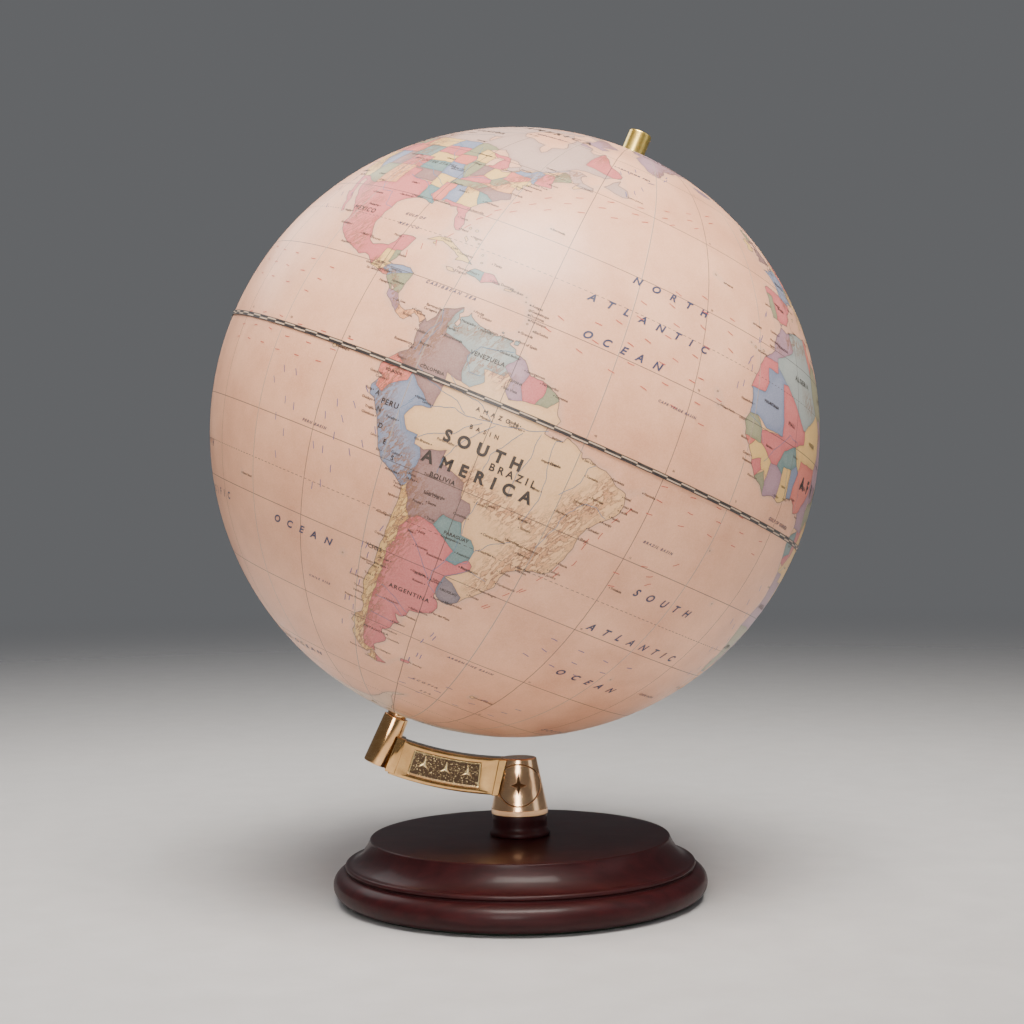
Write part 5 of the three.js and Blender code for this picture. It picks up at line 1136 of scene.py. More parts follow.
def gore(name, west, south, north):
    """One printed paper gore. It gives back the borders of its colours."""
    east = west + GORE_WIDTH
    left, right = west + EDGE_GAP, east - EDGE_GAP
    net = Net((west - 1.0, south - 1.0), (east + 1.0, north + 1.0))
    for _, ring in LAND + WATER:
        net.outline(ring)
    for _, ring in STATES:
        net.outline(ring, wanted=lambda p: tint_of(p)[1])
    for lat in np.linspace(south, north, 29):
        columns = max(2, int(round(10 * math.cos(math.radians(lat)))))
        net.spots.extend((west + GORE_WIDTH * i / columns, lat) for i in range(1, columns))
    for lon in (left, west + 0.12, west + 0.3, east - 0.3, east - 0.12, right):
        net.line([(lon, lat) for lat in np.linspace(south, north, 57)])
    for lat in (south, north):
        net.line([(lon, lat) for lon in np.linspace(left, right, 17)])
    places, faces = net.triangles()
    middles = places[faces].mean(axis=1)
    names, land = tint_of(middles)
    borders = tint_borders(places, faces, names, land)

    def within(spots):
        return (spots[:, 0] > left) & (spots[:, 0] < right) & (spots[:, 1] > south) & (spots[:, 1] < north)

    kept = within(middles)
    faces, names, land = faces[kept], names[kept], land[kept]
    used, faces = np.unique(faces, return_inverse=True)
    faces = faces.reshape(-1, 3)
    places = places[used]
    tops = on_ball(places[:, 0], places[:, 1])
    seam = np.minimum(places[:, 0] - west, east - places[:, 0])
    seam = np.minimum(seam, 5) * np.cos(np.radians(places[:, 1])) * RADIUS * math.pi / 180

    # Triangles run anticlockwise in longitude and latitude, which is outwards on the ball.
    corners, edge_faces = paper_edge(faces, len(tops))
    all_faces = [tuple(int(c) for c in f) for f in faces] + edge_faces
    points = np.vstack([tops, on_ball(places[corners, 0], places[corners, 1], RADIUS - PAPER)])
    piece = new_piece(name, points, all_faces, "globe", "map_paper", PAPER_PRINT)
    for key, values in (("edge", away_from(borders, tops)), ("relief", height_of_land(places)),
                        ("seam", seam), ("lon", places[:, 0]), ("lat", places[:, 1])):
        field(piece.data, key, np.concatenate([values, values[corners]]))
    colours = np.zeros((len(piece.data.loops), 4), np.float32)
    colours[:] = (*TINTS["sea"], 0)
    tints = np.array([(*TINTS[n], float(l)) for n, l in zip(names, land)], np.float32)
    colours[:3 * len(faces)] = np.repeat(tints, 3, axis=0)
    inked(piece.data, colours)
    round_shaded(piece, points, RADIUS)
    return [(start, end, inland) for start, end, inland in borders
            if within((start + end)[None] / 2)[0]]


# ------------------------------------------------------------------ ink laid on the paper
def thickened(flat, faces, weight):
    """Letters made bolder: every edge moves outwards, with sharp corners held back."""
    sides = {(a, b) for face in faces for a, b in zip(face, face[1:] + face[:1])}
    outward = {}
    for a, b in sides:
        along = flat[b] - flat[a]
        length = math.hypot(*along)
        if (b, a) not in sides and length > 1e-9:
            for corner in (a, b):
                outward.setdefault(corner, []).append((along[1] / length, -along[0] / length))
    moved = flat.copy()
    for corner, ways in outward.items():
        (x, y), (u, v) = ways[0], ways[-1]
        moved[corner] += np.array([x + u, y + v]) * weight / max(1 + x * u + y * v, 0.45)
    return moved


class Ink:
    """Flat printed marks gathered into one piece."""

    def __init__(self, height=PRINT_HEIGHT):
        self.points = []
        self.faces = []
        self.radius = RADIUS + height

    def add(self, places, faces):
        first = len(self.points)
        places = np.asarray(places, float)
        self.points += [tuple(p) for p in on_ball(places[:, 0], places[:, 1], self.radius)]
        self.faces += [tuple(first + int(c) for c in f) for f in faces]

    def ribbon(self, line, width):
        """A line of a real width in millimetres along points in degrees."""
        line = np.asarray(line, float)
        squeeze = np.cos(np.radians(line[:, 1]))
        steps = np.diff(line, axis=0)
        steps[:, 0] *= squeeze[:-1]
        steps /= np.maximum(np.linalg.norm(steps, axis=1), 1e-9)[:, None]
        ways = np.vstack([steps[:1], steps[:-1] + steps[1:], steps[-1:]])
        ways /= np.maximum(np.linalg.norm(ways, axis=1), 1e-9)[:, None]
        half = math.degrees(width / 2 / RADIUS)
        across = np.column_stack([-ways[:, 1] / squeeze, ways[:, 0]]) * half
        count = len(line)
        self.add(np.vstack([line + across, line - across]),
                 [(i + count, i + count + 1, i + 1, i) for i in range(count - 1)])

    def disc(self, lon, lat, radius, sides=10):
        reach = math.degrees(radius / RADIUS)
        angles = np.radians(np.arange(sides) * 360 / sides)
        self.add(np.column_stack([lon + reach * np.cos(angles) / math.cos(math.radians(lat)),
                                  lat + reach * np.sin(angles)]), [tuple(range(sides))])

    def words(self, text, lon, lat, height, spacing=1.0, slant=0.0, weight=0.0, align="CENTER"):
        """Lettering whose capitals have the given height in millimetres, on its parallel."""
        curve = bpy.data.curves.new("words", "FONT")
        curve.body = text
        curve.size = 1.0
        curve.space_character = spacing
        curve.shear = slant
        curve.align_x = align
        curve.resolution_u = 4 if height > 2 else 2
        holder = bpy.data.objects.new("words", curve)
        bpy.context.scene.collection.objects.link(holder)
        graph = bpy.context.evaluated_depsgraph_get()
        mesh = bpy.data.meshes.new_from_object(holder.evaluated_get(graph))
        bpy.data.objects.remove(holder)
        if len(mesh.vertices):
            work = bmesh.new()
            work.from_mesh(mesh)
            bmesh.ops.triangulate(work, faces=work.faces)
            flat = np.array([v.co[:2] for v in work.verts]) * height / CAPITAL
            flat[:, 1] -= height / 2
            faces = [[v.index for v in f.verts] for f in work.faces if f.calc_area() > 1e-9]
            if work.faces and sum(f.normal.z for f in work.faces) < 0:
                faces = [f[::-1] for f in faces]
            work.free()
            flat = thickened(flat, faces, weight * height)
            place = np.degrees(flat / RADIUS)
            self.add(np.column_stack([lon + place[:, 0] / math.cos(math.radians(lat)), lat + place[:, 1]]),
                     faces)
        bpy.data.meshes.remove(mesh)

    def piece(self, name, finish):
        made = new_piece(name, self.points, self.faces, "globe", "map_paper", finish)
        round_shaded(made, self.points, self.radius)


def dashes(line, dash, gap, first):
    """A line in degrees cut into dashes of real length in millimetres."""
    line = np.asarray(line, float)
    shrink = np.cos(np.radians(line[:-1, 1]))
    steps = np.diff(line, axis=0) * np.column_stack([shrink, np.ones(len(shrink))])
    reach = np.concatenate([[0], np.cumsum(np.hypot(*steps.T))]) * math.radians(1) * RADIUS
    start = first
    while start + dash <= reach[-1]:
        spans = np.linspace(start, start + dash, 4)
        yield np.column_stack([np.interp(spans, reach, line[:, 0]), np.interp(spans, reach, line[:, 1])])
        start += dash + gap


# ------------------------------------------------------------------ finishes
def paper_print():
    """Varnished map paper: tints deepest at their borders, graticule, hill shading, gore seams."""
    sheet = Sheet("map_paper_print")
    ink = sheet.attribute("ink", "Color")
    land = sheet.attribute("ink", "Alpha")
    edge = sheet.attribute("edge")
    hills = sheet.attribute("relief")
    seam = sheet.attribute("seam")
    lon = sheet.attribute("lon")
    lat = sheet.attribute("lat")
    mottle = sheet.noise(32, 5, roughness=0.62)
    blots = sheet.noise(140, 4, roughness=0.6)
    fibres = sheet.noise(1500, 3, roughness=0.7)

    parchment = sheet.ramp(mottle, (0.32, (0.77, 0.345, 0.190)), (0.68, (0.96, 0.485, 0.285)))
    paler = sheet.mix(0.12, ink, (0.86, 0.56, 0.36))
    depth = sheet.span(edge, 0.0, 2.6, 1.0, 0.0) ** 1.4 * (0.75 + blots * 0.5)
    country = sheet.mix(depth.clamp(), paler, sheet.scaled(ink, (0.86, 0.82, 0.80)))
    stain = sheet.scaled(country, (0.74, 0.70, 0.66))
    country = sheet.mix(sheet.span(mottle, 0.35, 0.7) * 0.35, country, stain)
    ranges = sheet.node("CombineXYZ", inputs={
        "X": lon * 1.35 - lat * 0.75, "Y": lat * 0.42 + lon * 0.25, "Z": mottle * 2.0})
    crags = sheet.noise(1.15, 3, vector=ranges, roughness=0.55)
    ridges = sheet.span((crags - 0.52).abs(), 0.010, 0.045, 1.0, 0.0)
    slopes = sheet.span(crags, 0.42, 0.56)
    country = sheet.mix((hills * slopes * 0.75).clamp(), country, sheet.scaled(country, (0.66, 0.44, 0.32)))
    country = sheet.mix((hills * ridges * 1.15).clamp(), country, (0.25, 0.095, 0.04))
    shore = sheet.span(edge, 0.0, 2.2, 0.30, 0.0)
    sea = sheet.mix(shore, parchment, (0.42, 0.36, 0.33))
    colour = sheet.mix(land > 0.5, sea, country)

    mm_per_degree = RADIUS * math.pi / 180

    def off_line(angle, every):
        turns = (angle / every + 0.5).maths("FRACT")
        return (turns - 0.5).abs() * (every * mm_per_degree)

    shrink = (lat * (math.pi / 180)).maths("COSINE")
    lines = sheet.span(off_line(lat, 15.0), 0.10, 0.21, 1.0, 0.0)
    lines = lines.maths("MAXIMUM", sheet.span(off_line(lon, 15.0) * shrink, 0.10, 0.21, 1.0, 0.0))
    dash = ((lon * 0.9).maths("FRACT") - 0.55) < 0.0
    for circle in (23.45, 66.55):
        near = sheet.span((lat.abs() - circle).abs() * mm_per_degree, 0.09, 0.20, 1.0, 0.0)
        lines = lines.maths("MAXIMUM", near * dash)
    colour = sheet.mix(lines * 0.96, colour, (0.035, 0.018, 0.016))
    join = sheet.span(seam, 0.08, 0.42, 1.0, 0.0)
    colour = sheet.mix(join * 0.38, colour, (0.86, 0.66, 0.52))
    colour = sheet.mix(sheet.span(seam, 0.0, 0.09, 0.55, 0.0), colour, (0.22, 0.15, 0.11))
    colour = sheet.mix(0.10, colour, sheet.ramp(fibres, (0.3, (0.20, 0.14, 0.10)), (0.7, (1, 0.92, 0.82))))
    height = fibres * 0.35 + crags * hills * land * 2.2 + join * 2.2
    return sheet.finish(
        Base_Color=colour, Roughness=0.40 + mottle * 0.16, Normal=sheet.bump(height, 0.00005, 0.55),
        Coat_Weight=0.32 + blots * 0.12, Coat_Roughness=0.24, Specular_IOR_Level=0.40)


def printed_ink(name, dark, light, scale=700):
    """Letterpress ink, a little uneven where the paper shows through."""
    sheet = Sheet(name)
    grain = sheet.noise(scale, 4, roughness=0.7)
    return sheet.finish(
        Base_Color=sheet.ramp(grain, (0.3, dark), (0.75, light)), Roughness=0.42 + grain * 0.2,
        Normal=sheet.bump(grain, 0.00001, 0.4), Coat_Weight=0.2, Coat_Roughness=0.3)


def brass(name, dark, light, roughness=0.11, lathe=None, cut=None):
    """Polished brass with faint handling haze; lathe stretches fine marks across a turned piece's axis."""
    sheet = Sheet(name)
    haze = sheet.noise(70, 4, roughness=0.6)
    place = sheet.scaled(sheet.place(), lathe) if lathe else sheet.place()
    marks = sheet.noise(160, 5, vector=place, roughness=0.65)
    specks = sheet.noise(2600, 2)
    colour = sheet.ramp(haze * 0.6 + marks * 0.4, (0.36, dark), (0.62, light))
    rough = roughness + marks * 0.09 + haze * 0.06
    if cut:
        lacquer = sheet.attribute(cut)
        colour = sheet.mix(lacquer, colour, (0.030, 0.020, 0.010))
        rough = rough + lacquer * 0.3
    return sheet.finish(
        Base_Color=colour, Metallic=1.0, Roughness=rough,
        Normal=sheet.bump(marks * 0.7 + specks * 0.15, 0.00003, 0.30))


def pebbled_brass():
    """Cast ground of the arm's panels: bright on the high grains, dark lacquer left in the hollows, with
    painted glints scattered over it.
    """
    sheet = Sheet("pebbled_brass")
    rise = sheet.attribute("grain")
    specks = sheet.noise(1500, 4, roughness=0.7)
    top = sheet.span(rise + specks * 0.30, 0.42, 0.95)
    # Scattered bright specks are painted glints, placed by noise and not by the relief.
    painted_glints = sheet.span(sheet.noise(1150, 2), 0.62, 0.70)
    colour = sheet.mix(top.maths("MAXIMUM", painted_glints), (0.085, 0.046, 0.022), (1.0, 0.78, 0.40))
    return sheet.finish(
        Base_Color=colour, Metallic=sheet.span(top, 0.0, 0.5, 0.45, 1.0), Roughness=0.52 - top * 0.30,
        Normal=sheet.bump(specks, 0.00006, 0.5))


def lacquered_wood(name, grain_way):
    """Very dark mahogany under semi-gloss lacquer, its grain running along one axis."""
    sheet = Sheet(name)
    along = sheet.scaled(sheet.place(), grain_way)
    figure = sheet.noise(9, 6, vector=along, roughness=0.6)
    pores = sheet.noise(60, 4, vector=along, roughness=0.7)
    cloud = sheet.noise(24, 3)
    colour = sheet.ramp(figure, (0.30, (0.017, 0.0024, 0.0030)), (0.50, (0.025, 0.0036, 0.0045)),
                        (0.72, (0.036, 0.0054, 0.0064)))
    colour = sheet.mix(sheet.span(pores, 0.60, 0.72) * 0.7, colour, (0.006, 0.002, 0.0015))
    return sheet.finish(
        Base_Color=colour, Roughness=0.38 + cloud * 0.16, Specular_IOR_Level=0.17,
        Coat_Weight=0.07 + cloud * 0.15, Coat_Roughness=0.14, Coat_IOR=1.35,
        Normal=sheet.bump(pores * 0.6 + cloud * 0.7, 0.00007, 0.45))


def plain(name, dark, light, scale, roughness, bump, metallic=0.0, detail=4):
    """A matt or satin material: two close colours, a roughness that varies with them, and a fine bump."""
    sheet = Sheet(name)
    grain = sheet.noise(scale, detail, roughness=0.65)
    return sheet.finish(
        Base_Color=sheet.ramp(grain, (0.32, dark), (0.68, light)), Metallic=metallic,
        Roughness=roughness + grain * 0.15, Normal=sheet.bump(grain, bump, 0.6))


def tape_print():
    """The equator tape's alternate black and white degrees."""
    sheet = Sheet("equator_tape_print")
    ink = sheet.attribute("ink", "Color")
    wear = sheet.noise(260, 5, roughness=0.7)
    colour = sheet.mix(sheet.span(wear, 0.55, 0.75) * 0.35, ink, (0.30, 0.22, 0.17))
    return sheet.finish(
        Base_Color=colour, Roughness=0.38 + wear * 0.2, Coat_Weight=0.2, Coat_Roughness=0.3,
        Normal=sheet.bump(wear, 0.00002, 0.5))


PAPER_PRINT = paper_print()
NAVY = printed_ink("navy_ink", (0.030, 0.033, 0.075), (0.07, 0.075, 0.13))
BLACK = printed_ink("name_ink", (0.025, 0.018, 0.016), (0.075, 0.055, 0.045))
LINE_BROWN = printed_ink("line_ink", (0.11, 0.065, 0.05), (0.21, 0.14, 0.10))
RIVER_BLUE = printed_ink("river_ink", (0.07, 0.14, 0.24), (0.15, 0.25, 0.36))
WARM_RED = printed_ink("warm_current_ink", (0.46, 0.035, 0.025), (0.62, 0.08, 0.05))
COLD_BLUE = printed_ink("cold_current_ink", (0.03, 0.05, 0.20), (0.07, 0.10, 0.30))
TAPE = tape_print()
# The arm's brass is darker than the post's and the tube's: its own brass tone, deepened as painted shade for
# the dark surroundings its polished faces reflect.
SHADE_DARKENED_ARM_BRASS = brass("arm_brass_painted_darker", (0.56, 0.31, 0.12), (0.78, 0.48, 0.20), 0.05)
POST_BRASS = brass("post_brass", (0.86, 0.46, 0.24), (1.0, 0.66, 0.38), 0.14, (1, 1, 26), cut="cut")
TUBE_BRASS = brass("tube_brass", (0.80, 0.43, 0.18), (0.98, 0.64, 0.30), 0.08, (1, 1, 14))
CAP_BRASS = brass("cap_brass", (1.0, 0.66, 0.16), (1.0, 0.84, 0.29), 0.26, (1, 1, 14))
PANEL_BRASS = pebbled_brass()
BASE_WOOD = lacquered_wood("base_mahogany", (2.2, 26, 26))
COLLAR_WOOD = lacquered_wood("collar_mahogany", (26, 26, 2.2))
FELT = plain("pad_felt", (0.010, 0.020, 0.013), (0.030, 0.050, 0.035), 1900, 0.82, 0.0004, detail=6)
STEEL = plain("zinc_steel", (0.40, 0.41, 0.43), (0.62, 0.63, 0.65), 420, 0.24, 0.00004, 1.0)
BOARD = plain("pressed_board", (0.24, 0.17, 0.10), (0.42, 0.32, 0.21), 380, 0.74, 0.0002)
NYLON = plain("nylon", (0.62, 0.59, 0.51), (0.78, 0.76, 0.68), 300, 0.36, 0.00004)


# ------------------------------------------------------------------ the printed ball
def printed_ball():
    borders = []
    for number in range(12):
        west = FIRST_SEAM + GORE_WIDTH * number
        for half, south, north in (("north", 0.35, 84), ("south", -84, -0.35)):
            borders += gore(f"{half}_gore_{number + 1}", west, south, north)
    polar_disc("north_polar_disc", 1, (*TINTS["sea"], 0))
    polar_disc("south_polar_disc", -1, (*TINTS["ice"], 1))

    outline = Ink(0.03)
    for start, end, inland in borders:
        outline.ribbon([start, end], 0.15 if inland else 0.27)
    outline.piece("border_lines", LINE_BROWN)

    rivers = Ink(0.035)
    for _, line in listed(RIVERS):
        rivers.ribbon(shaken(line, closed=False, step=0.4), 0.24)
    rivers.piece("rivers", RIVER_BLUE)

    warm, cold = Ink(), Ink()
    for kind, line in listed(CURRENTS):
        course = shaken(line, closed=False, step=1.0)
        ink = warm if kind == "warm" else cold
        for row in range(3):
            aside = np.array([1.7, 2.6]) * (row - 1)
            for dash in dashes(course + aside, 3.4, random.uniform(11, 15), random.uniform(0, 12)):
                ink.ribbon(dash, 0.36)
    warm.piece("warm_current_arrows", WARM_RED)
    cold.piece("cold_current_arrows", COLD_BLUE)

    for piece, table, slant, weight, finish in (
        ("sea_names", SEA_NAMES, 0.34, 0.050, NAVY),
        ("continent_names", CONTINENT_NAMES, 0, 0.066, BLACK),
        ("country_names", COUNTRY_NAMES, 0, 0.042, BLACK),
    ):
        lettering = Ink()
        for entry in table.strip().replace("\n", "; ").split("; "):
            text, numbers = entry.split(", ")
            lon, lat, height, spacing = (float(n) for n in numbers.split())
            lettering.words(text, lon, lat, height, spacing, slant, weight)
        lettering.piece(piece, finish)

    towns = Ink()
    for number, entry in enumerate(TOWNS.strip().replace("\n", ", ").split(", "), 1):
        text, lon, lat = entry.rsplit(" ", 2)
        lon, lat = float(lon), float(lat)
        towns.disc(lon, lat, 0.29)
        gap = 0.26 / math.cos(math.radians(lat))
        _, land = tint_of(np.array([(lon + 2.5, lat), (lon - 2.5, lat)]))
        seaward = 1 if not land[0] else -1 if not land[1] else (1, -1)[number % 2]
        towns.words(text, lon + gap * seaward, lat + 0.05, 1.2, 1.0, 0, 0.030,
                    align="LEFT" if seaward > 0 else "RIGHT")
    towns.piece("towns", BLACK)

    degrees = Ink()
    for lon in range(-165, 195, 15):
        label = str(abs(lon) if lon <= 180 else 360 - lon)
        degrees.words(label, lon + 1.0, 1.45, 0.95, 1.0, 0, 0.020, align="LEFT")
    for lat in (-75, -60, -45, -30, -15, 15, 30, 45, 60, 75):
        for lon in (-150, -30, 60, 150):
            degrees.words(str(abs(lat)), lon + 0.8, lat + 0.6, 0.95, 1.0, 0, 0.020, align="LEFT")
    degrees.piece("degree_numbers", BLACK)


def polar_disc(name, side, tint):
    """The round paper over the gores' tips, with a hole for the bush."""
    hole = 90 - math.degrees(math.asin((mm_box("northern_bush")[1].y + 0.5) / RADIUS))
    lats = np.linspace(POLAR_EDGE, hole, 16)
    lons = np.arange(0, 360, 2.5)
    reach = RADIUS + 0.02
    rows = [on_ball(lons, np.full(len(lons), side * lat), reach) for lat in lats]
    rows.insert(0, on_ball(lons, np.full(len(lons), side * POLAR_EDGE), RADIUS + 0.005))
    rows.append(on_ball(lons, np.full(len(lons), side * hole), RADIUS - PAPER))
    count = len(lons)
    faces = []
    for r in range(len(rows) - 1):
        for i in range(count):
            j = (i + 1) % count
            face = (r * count + i, r * count + j, (r + 1) * count + j, (r + 1) * count + i)
            faces.append(face if side > 0 else face[::-1])
    piece = new_piece(name, np.vstack(rows), faces, "globe", "map_paper", PAPER_PRINT, sharp=40)
    mesh = piece.data
    steps = [POLAR_EDGE, *lats, hole]
    fields = {"edge": np.full(len(mesh.vertices), FULL_DEPTH), "relief": np.zeros(len(mesh.vertices)),
              "seam": np.repeat([0.0, 0.15, *[5.0] * (len(rows) - 2)], count),
              "lon": np.tile(lons, len(rows)), "lat": np.repeat(np.array(steps) * side, count)}
    for key, values in fields.items():
        field(mesh, key, values)
    inked(mesh, np.tile(tint, len(mesh.loops)))


def equator_tape():
    """The tape over the joint: two rows of alternate dark and light blocks of three degrees."""
    high = mm_box("equator_tape")[1].y
    low = high - 0.3
    half = 1.15
    profile = [(low, -half), (high - 0.08, -half), (high, -half + 0.08), (high, -0.74), (high, -0.12),
               (high, 0.12), (high, 0.74), (high, half - 0.08), (high - 0.08, half), (low, half)]
    points, faces = turned(profile, 360, closed=True)
    piece = new_piece("equator_tape_print", to_row(points), faces, "globe", "equator_print", TAPE, sharp=35)
    mesh = piece.data
    dark, light, rule = (0.028, 0.022, 0.022, 1), (0.52, 0.38, 0.27, 1), (0.040, 0.030, 0.028, 1)
    colours = np.zeros((len(mesh.loops), 4), np.float32)
    for face in mesh.polygons:
        row, column = divmod(face.index, 360)
        block = (column // 3 + (row > 4)) % 2
        shade = (dark if block else light) if row in (3, 5) else rule
        for corner in face.loop_indices:
            colours[corner] = shade
    inked(mesh, colours)
    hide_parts("equator_tape")


# ------------------------------------------------------------------ the wooden base
def cut(piece, points, faces, operation="DIFFERENCE"):
    """Cuts one closed form out of a piece, or joins it on."""
    mesh = bpy.data.meshes.new("tool")
    mesh.from_pydata([Vector(p) * MM for p in points], [], faces)
    tool = bpy.data.objects.new("tool", mesh)
    bpy.context.scene.collection.objects.link(tool)
    outwards(tool)
    change = piece.modifiers.new("cut", "BOOLEAN")
    change.operation = operation
    change.solver = "EXACT"
    change.object = tool
    bpy.context.view_layer.update()
    graph = bpy.context.evaluated_depsgraph_get()
    mesh = bpy.data.meshes.new_from_object(piece.evaluated_get(graph))
    piece.modifiers.clear()
    piece.data = mesh
    bpy.data.objects.remove(tool)


def bar_points(radius, start, end, across=(0, 0), sides=32, matrix=Matrix()):
    """A round bar along the local Z axis."""
    points, faces = turned([(0, start), (radius, start), (radius, end), (0, end)], sides)
    return [matrix @ (Vector(p) + Vector((*across, 0))) for p in points], faces


def wooden_base():
    low, high = mm_box("wood_base")
    bottom, top, rim = low.z, high.z, high.x
    bead = rim - 6
    disc = rim - 18.5
    bead_size = 1.4
    cove = bead - bead_size - disc
    cove_bottom = top - 1 - cove
    rim_top = cove_bottom - 2 * bead_size - 0.5
    half = (rim_top - bottom) / 2
    outside = [
        *arc(rim - 7.5, bottom + half, 7.5, half, -90, 90, 28),
        (bead - 0.6, rim_top), (bead - 0.6, rim_top + 0.5),
        *arc(bead - bead_size, cove_bottom - bead_size, bead_size, bead_size, -88, 90, 14),
        *[(x * 0.6 + (disc + top - 1 - y) * 0.4, y)
          for x, y in arc(disc + cove, top - 1, cove, cove, -90, -180, 24)[1:]],
        *arc(disc - 1, top - 1, 1, 1, 0, 90, 6)[1:],
    ]
    profile = [(12, bottom), *outside, (40, top), (BOLT_HOLE, top), (BOLT_HOLE, 13), (12, 13)]
    points, faces = turned(profile, 256, closed=True)
    piece = new_piece("turned_base", points, faces, "stand", "dark_wood", BASE_WOOD)
    outwards(piece)
    pin_low, pin_high = mm_box("locating_pin")
    hole = ((pin_low.x + pin_high.x) / 2, (pin_low.y + pin_high.y) / 2)
    cut(piece, *bar_points(PIN_HOLE, pin_low.z - 0.3, top + 2, hole))
    smoothed(piece, 32)
    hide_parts("wood_base")

    low, high = mm_box("wood_collar")
    foot, waist, foot_height = high.x, high.x - 1.6, 2.4
    flare = [(waist + (foot - waist) * (0.5 + 0.5 * math.cos(math.pi * step / 12)) ** 1.6,
              low.z + foot_height * 0.6 + 4.2 * step / 12) for step in range(13)]
    outside = [
        *arc(foot - 0.9, low.z + 0.9, 0.9, 0.9, -90, 0, 5), *flare, (waist + 0.04, low.z + 8),
        (waist + 0.25, high.z - 0.7), (waist + 0.1, high.z - 0.25), (waist - 0.3, high.z),
    ]
    points, faces = turned([(BOLT_HOLE, low.z), *outside, (BOLT_HOLE, high.z)], 160, closed=True)
    collar = new_piece("turned_collar", points, faces, "stand", "dark_wood", COLLAR_WOOD)
    outwards(collar)
    cut(collar, *bar_points(PIN_HOLE, low.z - 1, high.z + 1, hole))
    smoothed(collar, 32)
    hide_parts("wood_collar")

    felt = mm_box("felt_pad")[1]
    edge = 0.35
    profile = [(0, 0.0), *arc(felt.x - edge, edge, edge, edge, -90, 0, 4),
               *arc(felt.x - edge, felt.z - edge, edge, edge, 0, 90, 4), (0, felt.z)]
    points, faces = turned(profile, 192)
    pad = new_piece("felt_disc", points, faces, "stand", "felt", FELT, sharp=60)
    outwards(pad)
    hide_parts("felt_pad")


# ------------------------------------------------------------------ the brass post
POST_LOW, POST_HIGH = mm_box("brass_post")
CONE_BOTTOM = POST_LOW.z + 2.8
CONE_LOW_RADIUS = POST_HIGH.x - 0.1
CONE_TOP_RADIUS = 8.8
POST_FACE = math.radians(6)        # the engraving is turned this far from the front, towards the arm
RING_HEIGHT = 57.5
RING_RADIUS = 10.8
RING_HALF = 0.38
RING_DEPTH = 0.42
STAR_DEPTH = 1.2
STAR_WAIST = 1.6                     # how far the star's inner corners are from its middle
STAR_TIPS = (4.35, 6.6, 4.35, 5.0)   # right, up, left and down


def cone_radius(height):
    along = (height - CONE_BOTTOM) / (POST_HIGH.z - CONE_BOTTOM)
    return CONE_LOW_RADIUS + (CONE_TOP_RADIUS - CONE_LOW_RADIUS) * along


def star_outline():
    """Tips and inner corners of the engraved compass star, by turns, anticlockwise from the right."""
    corners = []
    for number, tip in enumerate(STAR_TIPS):
        angle = math.pi / 2 * number
        corner = angle + math.pi / 4
        corners.append((tip * math.cos(angle), tip * math.sin(angle)))
        corners.append((STAR_WAIST * math.cos(corner), STAR_WAIST * math.sin(corner)))
    return corners


